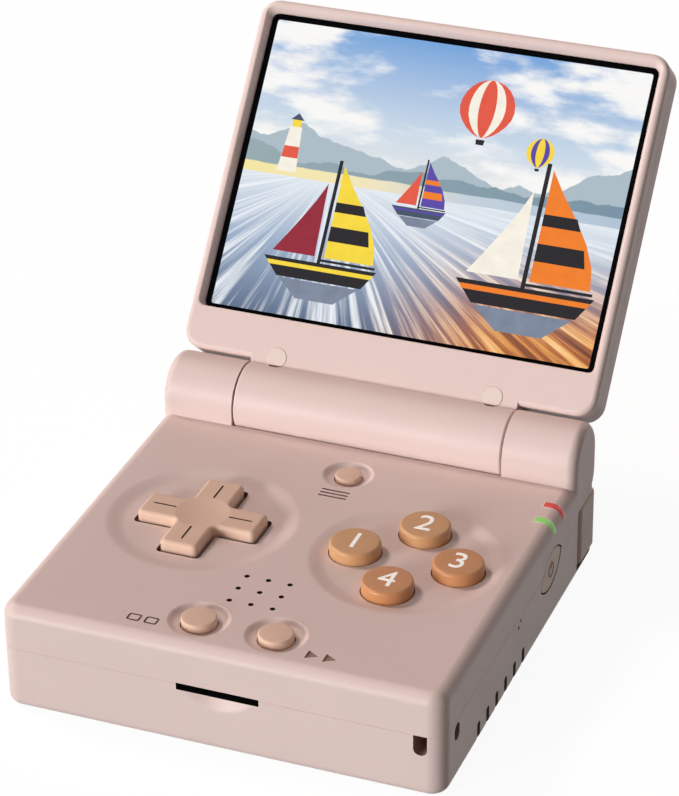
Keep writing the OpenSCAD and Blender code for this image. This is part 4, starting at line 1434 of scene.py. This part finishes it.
@dataclass(frozen=True)
class LakePicture:
    """A lit picture of a lake between hills under a cloudy sky.

    Attributes:
        left: Left side of the lit area, from the middle of the lid.
        right: Right side of the lit area.
        near: Lower side, from the hinge axis.
        far: Upper side, from the hinge axis.
        shore: Height of the shore line, as a share of the picture.
        vanish: Place across of the point that the water's streaks run to.
    """

    left: float
    right: float
    near: float
    far: float
    shore: float = 0.47
    vanish: float = 0.24

    def hill(self, graph: Graph, across: Any, up: Any, crest: float, rise: float,
             waves: float, shift: float) -> Any:
        """A mask that is 1 below a hill line.

        Args:
            graph: The material's graph.
            across: Place across the picture, 0 to 1.
            up: Place up the picture, 0 to 1.
            crest: Middle height of the line.
            rise: How far the line rises and falls.
            waves: Number of hills.
            shift: Offset that gives another line.

        Returns:
            The mask.
        """
        line = graph.noise(graph.point(across, shift), waves, 5, 0.45)
        swing = graph.math("MULTIPLY", graph.math("SUBTRACT", line, 0.5), rise)
        height = graph.math("ADD", swing, crest)
        return graph.spread(graph.math("SUBTRACT", height, up), -0.002, 0.002)

    def sky(self, graph: Graph, across: Any, up: Any) -> Any:
        """The sky's colour, with clouds on both sides."""
        colour = graph.ramp(up, [(0.45, (240, 235, 226)), (0.66, (205, 219, 232)),
                                 (1.0, (118, 164, 218))])
        spot = graph.point(graph.math("MULTIPLY", across, 2.4), graph.math("MULTIPLY", up, 5.0))
        puffs = graph.noise(spot, 1.6, 8, 0.55)
        edge = graph.math("ABSOLUTE", graph.math("SUBTRACT", across, 0.5))
        mask = graph.spread(graph.math("ADD", puffs, graph.math("MULTIPLY", edge, 0.25)), 0.5, 0.7)
        return graph.mix(mask, colour, linear((248, 247, 245)))

    def water(self, graph: Graph, across: Any, up: Any) -> Any:
        """The lake's colour, with long streaks of light that run to one point of the shore."""
        side = graph.math("SUBTRACT", across, self.vanish)
        down = graph.math("SUBTRACT", up, self.shore + 0.04)
        angle = graph.math("ARCTAN2", down, side)
        reach = graph.math("SQRT", graph.math("ADD", graph.math("MULTIPLY", side, side),
                                              graph.math("MULTIPLY", down, down)))
        spot = graph.point(graph.math("MULTIPLY", angle, 16.0), graph.math("MULTIPLY", reach, 0.9))
        streak = graph.noise(spot, 1.5, 6, 0.6)
        calm = graph.ramp(up, [(0.0, (96, 112, 140)), (0.25, (158, 176, 202)),
                               (self.shore, (222, 230, 238))])
        cool = graph.mix(graph.spread(streak, 0.44, 0.66), calm, linear((236, 241, 247)))
        warm = graph.ramp(streak, [(0.3, (58, 44, 44)), (0.47, (176, 104, 62)),
                                   (0.56, (240, 170, 92)), (0.68, (255, 232, 176))])
        zone = graph.math("MULTIPLY", graph.spread(across, 0.34, 0.8), graph.spread(up, 0.42, 0.02))
        return graph.mix(zone, cool, warm)

    @cache
    def material(self) -> bpy.types.Material:
        """Makes the picture's material once."""
        material, graph, shader = lit_material("lake_picture")
        spot = graph.add("TexCoord").outputs["Object"]
        shift = -(Matrix.Rotation(OPEN_ANGLE, 3, "X") @ (HINGE * MM))
        flat = graph.add("Mapping", {"Vector": spot, "Location": shift,
                                     "Rotation": (OPEN_ANGLE, 0, 0)}).outputs[0]
        parts = graph.add("SeparateXYZ", {0: flat}).outputs
        across, up = (graph.add("MapRange", {"Value": part, "From Min": start * MM,
                                             "From Max": end * MM}).outputs[0]
                      for part, start, end in ((parts[0], self.left, self.right),
                                               (parts[1], -self.near, -self.far)))
        haze = graph.ramp(across, [(0.0, (150, 170, 176)), (1.0, (120, 146, 164))])
        sand = graph.ramp(across, [(0.0, (244, 230, 160)), (0.35, (240, 228, 190)),
                                   (0.6, (196, 208, 220)), (1.0, (176, 194, 212))])
        colour = self.sky(graph, across, up)
        for crest, rise, waves, offset, ground in (
                (0.60, 0.42, 3.2, 4.0, linear((172, 188, 198))), (0.545, 0.22, 5.5, 9.0, haze),
                (self.shore + 0.035, 0.03, 6.0, 2.0, sand),
                (self.shore, 0.012, 5.0, 7.0, self.water(graph, across, up))):
            mask = self.hill(graph, across, up, crest, rise, waves, offset)
            colour = graph.mix(mask, colour, ground)
        graph.fill(shader, {"Emission Color": colour})
        return material


@dataclass(frozen=True)
class Sail:
    """The colours of one boat.

    Attributes:
        main: The main sail.
        jib: The front sail.
        hull: The hull.
        band: The band on the main sail.
    """

    main: Flat
    jib: Flat
    hull: Flat
    band: Flat


ORANGE = Flat("paint_orange", (240, 128, 44))
CHARCOAL = Flat("paint_charcoal", (40, 38, 42))
CREAM = Flat("paint_cream", (246, 240, 226))
VIOLET = Flat("paint_violet", (92, 74, 168))
CORAL = Flat("paint_coral", (226, 90, 70))
LEMON = Flat("paint_lemon", (246, 216, 66))
SLATE = Flat("paint_slate", (70, 84, 104))
CLARET = Flat("paint_claret", (150, 44, 60))
MIRROR = Flat("paint_mirror", (126, 136, 156), 0.5)

# A flat shape of a figure: its outline in the figure's own measure, its layer and its colour.
Shape = tuple[list[Pair], int, Flat]


@dataclass
class Display(SubAssembly):
    """The cover glass with its black border, and the lit picture on it.

    Attributes:
        border: Width of the black border.
        corner: Radius of the picture's corners.
        layer: Thickness of one layer of the picture.
        gap: Room round the glass.
    """

    border: float = 0.9
    corner: float = 0.35
    layer: float = 0.012
    gap: float = 0.05

    def __post_init__(self) -> None:
        """Takes the glass from the lid's window."""
        lid = Lid()
        self.side, self.near, self.far = lid.window_side, lid.window_near, lid.window_far
        self.face = lid.rim + lid.sink
        self.left, self.right = -self.side + self.border + 0.1, self.side - self.border + 0.1
        self.low, self.high = self.near + 0.75, self.far - self.border - 0.1

    def spot(self, across: float, up: float) -> Pair:
        """A place in the picture, given as shares, in the shut lid's millimetres."""
        return (self.left + across * (self.right - self.left),
                -(self.low + up * (self.high - self.low)))

    def sheet(self, outline: list[Pair], level: int, paint: Flat) -> Piece:
        """A flat shape of the picture.

        Args:
            outline: Corners as shares of the picture.
            level: Layer that it lies in, 1 and up.
            paint: Its colour.

        Returns:
            The shape, facing the viewer.
        """
        height = self.face - (level + 1) * self.layer
        deselect_all()
        bpy.ops.mesh.primitive_circle_add(vertices=len(outline), radius=MM, fill_type="NGON",
                                          location=(0, 0, height * MM))
        shape = settle(bpy.context.active_object, "shape")
        for number, place in enumerate(outline):
            with editing(shape, "VERT"):
                mesh = bmesh.from_edit_mesh(shape.data)
                mesh.verts.ensure_lookup_table()
                vert = mesh.verts[number]
                x, y = self.spot(*place)
                move = (x * MM - vert.co.x, y * MM - vert.co.y, 0)
                vert.select_set(True)
                bmesh.update_edit_mesh(shape.data)
                bpy.ops.transform.translate(value=move)
        with editing(shape, "FACE"):
            bpy.ops.mesh.select_all(action="SELECT")
            if shape.data.polygons[0].normal.z > 0:
                bpy.ops.mesh.flip_normals()
        shape.data.materials.append(paint.material())
        return shape

    def figure(self, across: float, up: float, size: float, shapes: list[Shape],
               slim: float = 1.0) -> list[Piece]:
        """Draws flat shapes that are given in a figure's own measure.

        Args:
            across: Place of the figure's middle, as a share of the picture.
            up: Height of its foot or middle, as a share.
            size: Its height, as a share.
            shapes: Outline, layer and colour of each shape.
            slim: Factor on its width.

        Returns:
            The shapes.
        """
        return [self.sheet([(across + x * size * slim, up + y * size) for x, y in outline],
                           level, paint) for outline, level, paint in shapes]

    def boat(self, sail: Sail, level: int) -> list[Shape]:
        """A sailing boat in its own measure, from a layer up, with its mirror image first."""
        belly = [(0.04 + 0.42 * math.sin(math.pi / 2 * (1 - share)) ** 1.2, 0.2 + 0.76 * share)
                 for share in (0, 0.2, 0.4, 0.6, 0.8, 1)]
        front = [(-0.06 - 0.34 * (1 - share) ** 1.15, 0.2 + 0.6 * share)
                 for share in (0, 0.25, 0.5, 0.75, 1)]
        return [([(-0.3, -0.01), (0.38, -0.01), (0.2, -0.16), (-0.12, -0.16)], level, MIRROR),
                ([(-0.01, 0.12), (0.02, 0.12), (0.02, 1.0), (-0.01, 1.0)], level, CHARCOAL),
                (belly + [(0.04, 0.2)], level + 1, sail.main),
                (front + [(-0.04, 0.2)], level + 1, sail.jib),
                ([(-0.46, 0.15), (0.5, 0.15), (0.4, 0.0), (-0.32, 0.0)], level + 1, sail.hull),
                ([(0.0, 0.185), (0.48, 0.185), (0.48, 0.165), (0.0, 0.165)], level + 2, CHARCOAL),
                ([(0.04, 0.34), (0.39, 0.34), (0.36, 0.46), (0.04, 0.46)], level + 2, sail.band),
                ([(0.04, 0.58), (0.31, 0.58), (0.27, 0.66), (0.04, 0.66)], level + 2, sail.band),
                ([(-0.43, 0.12), (0.48, 0.12), (0.46, 0.085), (-0.405, 0.085)], level + 2,
                 sail.main)]

    def balloon(self, paints: tuple[Flat, Flat], steps: int = 24) -> list[Shape]:
        """A striped balloon with its basket, in its own measure."""
        angles = [math.tau * step / steps for step in range(steps)]
        shapes = [([(0.36 * width * (1 - 0.28 * max(0.0, -math.sin(angle)) ** 2) * math.cos(angle),
                     0.5 * math.sin(angle)) for angle in angles], 1 + number, paints[number % 2])
                  for number, width in enumerate((1.0, 0.66, 0.3))]
        basket = [(-0.05, -0.62), (0.05, -0.62), (0.06, -0.53), (-0.06, -0.53)]
        return shapes + [(basket, 1, CHARCOAL)]

    def lighthouse(self) -> list[Shape]:
        """A lighthouse in its own measure."""
        return [([(-0.13, 0), (0.13, 0), (0.08, 0.78), (-0.08, 0.78)], 1, CREAM),
                ([(-0.112, 0.24), (0.112, 0.24), (0.1, 0.44), (-0.1, 0.44)], 2, CORAL),
                ([(-0.06, 0.78), (0.06, 0.78), (0.06, 0.9), (-0.06, 0.9)], 1, LEMON),
                ([(-0.09, 0.9), (0.09, 0.9), (0.0, 1.02)], 1, SLATE)]

    def build(self) -> None:
        """Builds the glass, the picture and the flat shapes on it."""
        glass = rounded_block("cover_glass", (-self.side + self.gap, -self.far + self.gap, self.face),
                              (self.side - self.gap, -self.near - self.gap, self.face + 1),
                              1.05, 0, 0.08)
        self.hand_over(smooth(open_lid(glass)), "lid", BLACK_GLASS, "glass_black", "display_glass")
        picture = rounded_block("lit_picture", (self.left, -self.high, self.face - self.layer),
                                (self.right, -self.low, self.face + 0.2), self.corner, segments=4)
        paint = LakePicture(self.left, self.right, self.low, self.high)
        self.hand_over(smooth(open_lid(picture)), "lid", paint, "panel_black")
        shapes = self.figure(0.115, 0.485, 0.2, self.lighthouse())
        shapes += self.figure(0.60, 0.80, 0.2, self.balloon((CORAL, CREAM)))
        shapes += self.figure(0.76, 0.68, 0.1, self.balloon((LEMON, VIOLET)))
        for across, up, size, sail, level in (
                (0.48, 0.40, 0.2, Sail(VIOLET, CORAL, SLATE, ORANGE), 4),
                (0.255, 0.13, 0.42, Sail(LEMON, CLARET, CHARCOAL, CHARCOAL), 8),
                (0.79, 0.15, 0.5, Sail(ORANGE, CREAM, CHARCOAL, CHARCOAL), 12)):
            shapes += self.figure(across, up, size, self.boat(sail, level), 0.75)
        self.hand_over(open_lid(gather(shapes, "picture_shapes")), "lid", ORANGE, "panel_black")


# The finish of each CAD node that stays as it is.
DRESS = {
    STEEL: ("base_screws", "hinge_cartridge", "lid_screws"),
    BRIGHT_STEEL: ("usb_port", "shoulder_pins", "lid_magnet"),
    BOARD: ("main_board",),
    FOIL: ("battery_pack",),
    # The card socket is coloured near-black as painted shade deep in the card slot.
    SLOT_PAINTED_SHADE: ("card_socket",),
    RUBBER: ("pad_membrane", "key_membrane", "pad_pivot"),
    AMBER: ("display_cable",),
    DARK_PLASTIC: ("speaker", "headphone_jack", "hinge_bush", "small_switches", "side_switches",
                   "shoulder_switches", "hall_sensor", "display_panel"),
}


@dataclass
class Inside(SubAssembly):
    """The CAD nodes that stay as they are and take a better finish."""

    def build(self) -> None:
        """Gives each node its finish."""
        for finish, names in DRESS.items():
            for name in names:
                node = frame["nodes"][name]
                if not node.material_slots:
                    node.data.materials.append(finish.material())
                for slot in node.material_slots:
                    slot.material = finish.material()
                self.made.append(name)


@dataclass(frozen=True)
class Lamp:
    """A soft far light.

    Attributes:
        name: Name of the light.
        way: Direction towards it.
        power: Its strength.
        spread: How wide it looks, in degrees.
        colour: Its colour.
    """

    name: str
    way: Triple
    power: float
    spread: float
    colour: Triple = (1.0, 1.0, 1.0)

    def build(self) -> None:
        """Adds the light."""
        data = bpy.data.lights.new(self.name, "SUN")
        data.energy = self.power
        data.angle = math.radians(self.spread)
        data.color = self.colour
        lamp = bpy.data.objects.new(self.name, data)
        bpy.context.scene.collection.objects.link(lamp)
        lamp.rotation_euler = Vector(self.way).to_track_quat("Z", "Y").to_euler()


@dataclass
class Studio:
    """The camera, the pale floor and the soft light.

    Attributes:
        azimuth: Camera's angle round the object, in degrees.
        elevation: Camera's angle above the floor, in degrees.
        roll: Camera's roll, in degrees.
        distance: Distance of the camera from its target.
        target: Point of the floor that the camera looks at.
        lens: Focal length on the sensor.
        sensor: Width of the sensor.
        lamps: The key light, a weaker one from above and one from behind.
        ambient: Brightness of the surroundings.
        ambient_colour: Colour of the surroundings.
        floor_light: How strongly the floor shines to the camera.
        floor_share: How much of the floor's look is that shine, which leaves a soft shadow.
    """

    azimuth: float = 21.474
    elevation: float = 29.884
    roll: float = -0.682
    distance: float = 555.197
    target: Triple = (-19.772, 63.464, 0.0)
    lens: float = 153.6
    sensor: float = 36.0
    lamps: tuple[Lamp, ...] = (Lamp("key", (-0.50, -0.86, 0.11), 3.26, 26),
                               Lamp("top", (-0.65, 0.20, 0.73), 1.35, 14, (1.0, 0.83, 0.76)),
                               Lamp("rim", (0.05, 0.9, 0.35), 0.3, 30))
    ambient: float = 0.165
    ambient_colour: tuple[float, float, float, float] = (1.0, 0.9, 0.87, 1.0)
    floor_light: float = 1.08
    floor_share: float = 0.86

    def build_camera(self) -> None:
        """Places the camera at the photograph's viewing angle."""
        side, rise, roll = (math.radians(a) for a in (self.azimuth, self.elevation, self.roll))
        back = Vector((math.sin(side) * math.cos(rise), -math.cos(side) * math.cos(rise),
                       math.sin(rise)))
        right = Vector((math.cos(side), math.sin(side), 0))
        up = back.cross(right)
        across = right * math.cos(roll) + up * math.sin(roll)
        above = up * math.cos(roll) - right * math.sin(roll)
        place = (Vector(self.target) + back * self.distance) * MM
        data = bpy.data.cameras.new("camera")
        data.lens, data.sensor_width = self.lens, self.sensor
        data.clip_start, data.clip_end = 0.01, 50
        camera = bpy.data.objects.new("camera", data)
        bpy.context.scene.collection.objects.link(camera)
        turn = Matrix((across, above, back)).transposed().to_4x4()
        camera.matrix_world = Matrix.Translation(place) @ turn
        bpy.context.scene.camera = camera

    def seen_white(self, graph: Graph) -> Any:
        """1 for rays from the camera, from a gloss or through a glass."""
        path = graph.add("LightPath").outputs
        seen = graph.math("MAXIMUM", path["Is Camera Ray"], path["Is Glossy Ray"])
        return graph.math("MAXIMUM", seen, path["Is Transmission Ray"])

    def build_floor(self) -> None:
        """The pale floor, white to the camera and keeping a soft shadow."""
        deselect_all()
        bpy.ops.mesh.primitive_plane_add(size=6, location=(0, 0, 0))
        floor = settle(bpy.context.active_object, "floor")
        material, graph, shader = new_material("pale_floor")
        seen = self.seen_white(graph)
        tone = graph.mix(seen, (0.16, 0.15, 0.14, 1), (0.85, 0.85, 0.85, 1))
        graph.fill(shader, {"Base Color": tone, "Roughness": 0.9, "Specular IOR Level": 0.0})
        white = graph.add("Emission", {"Color": WHITE, "Strength": self.floor_light})
        factor = graph.math("MULTIPLY", seen, self.floor_share)
        blend = graph.add("MixShader", {0: factor, 1: shader.outputs[0], 2: white.outputs[0]})
        graph.fill(graph.tree.nodes["Material Output"], {"Surface": blend.outputs[0]})
        floor.data.materials.append(material)

    def build_world(self) -> None:
        """The even surroundings, white to the camera."""
        world = bpy.data.worlds.new("studio")
        world.use_nodes = True
        graph = Graph(world.node_tree)
        plain = graph.fill(graph.tree.nodes["Background"],
                           {"Color": self.ambient_colour, "Strength": self.ambient})
        white = graph.add("Background", {"Color": WHITE, "Strength": 1.0})
        blend = graph.add("MixShader", {0: self.seen_white(graph), 1: plain.outputs[0],
                                        2: white.outputs[0]})
        graph.fill(graph.tree.nodes["World Output"], {"Surface": blend.outputs[0]})
        bpy.context.scene.world = world

    def build(self) -> None:
        """Sets the camera, the floor, the light and the plain view transform."""
        self.build_camera()
        self.build_floor()
        for lamp in self.lamps:
            lamp.build()
        self.build_world()
        bpy.context.scene.view_settings.view_transform = "Standard"


def write_sizes() -> None:
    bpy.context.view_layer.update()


def main() -> None:
    """Builds the sub-assemblies in order and reports their pieces."""
    logging.basicConfig(level=logging.INFO, format="%(name)s: %(message)s")
    base = Base()
    for part in (base, TopButtons(base=base), SideButtons(base=base), Lid(), Display(), Inside()):
        part.build()
        LOG.info("%s: %s", type(part).__name__, ", ".join(part.made))
    Studio().build()
    write_sizes()


if __name__ == "__main__":
    main()
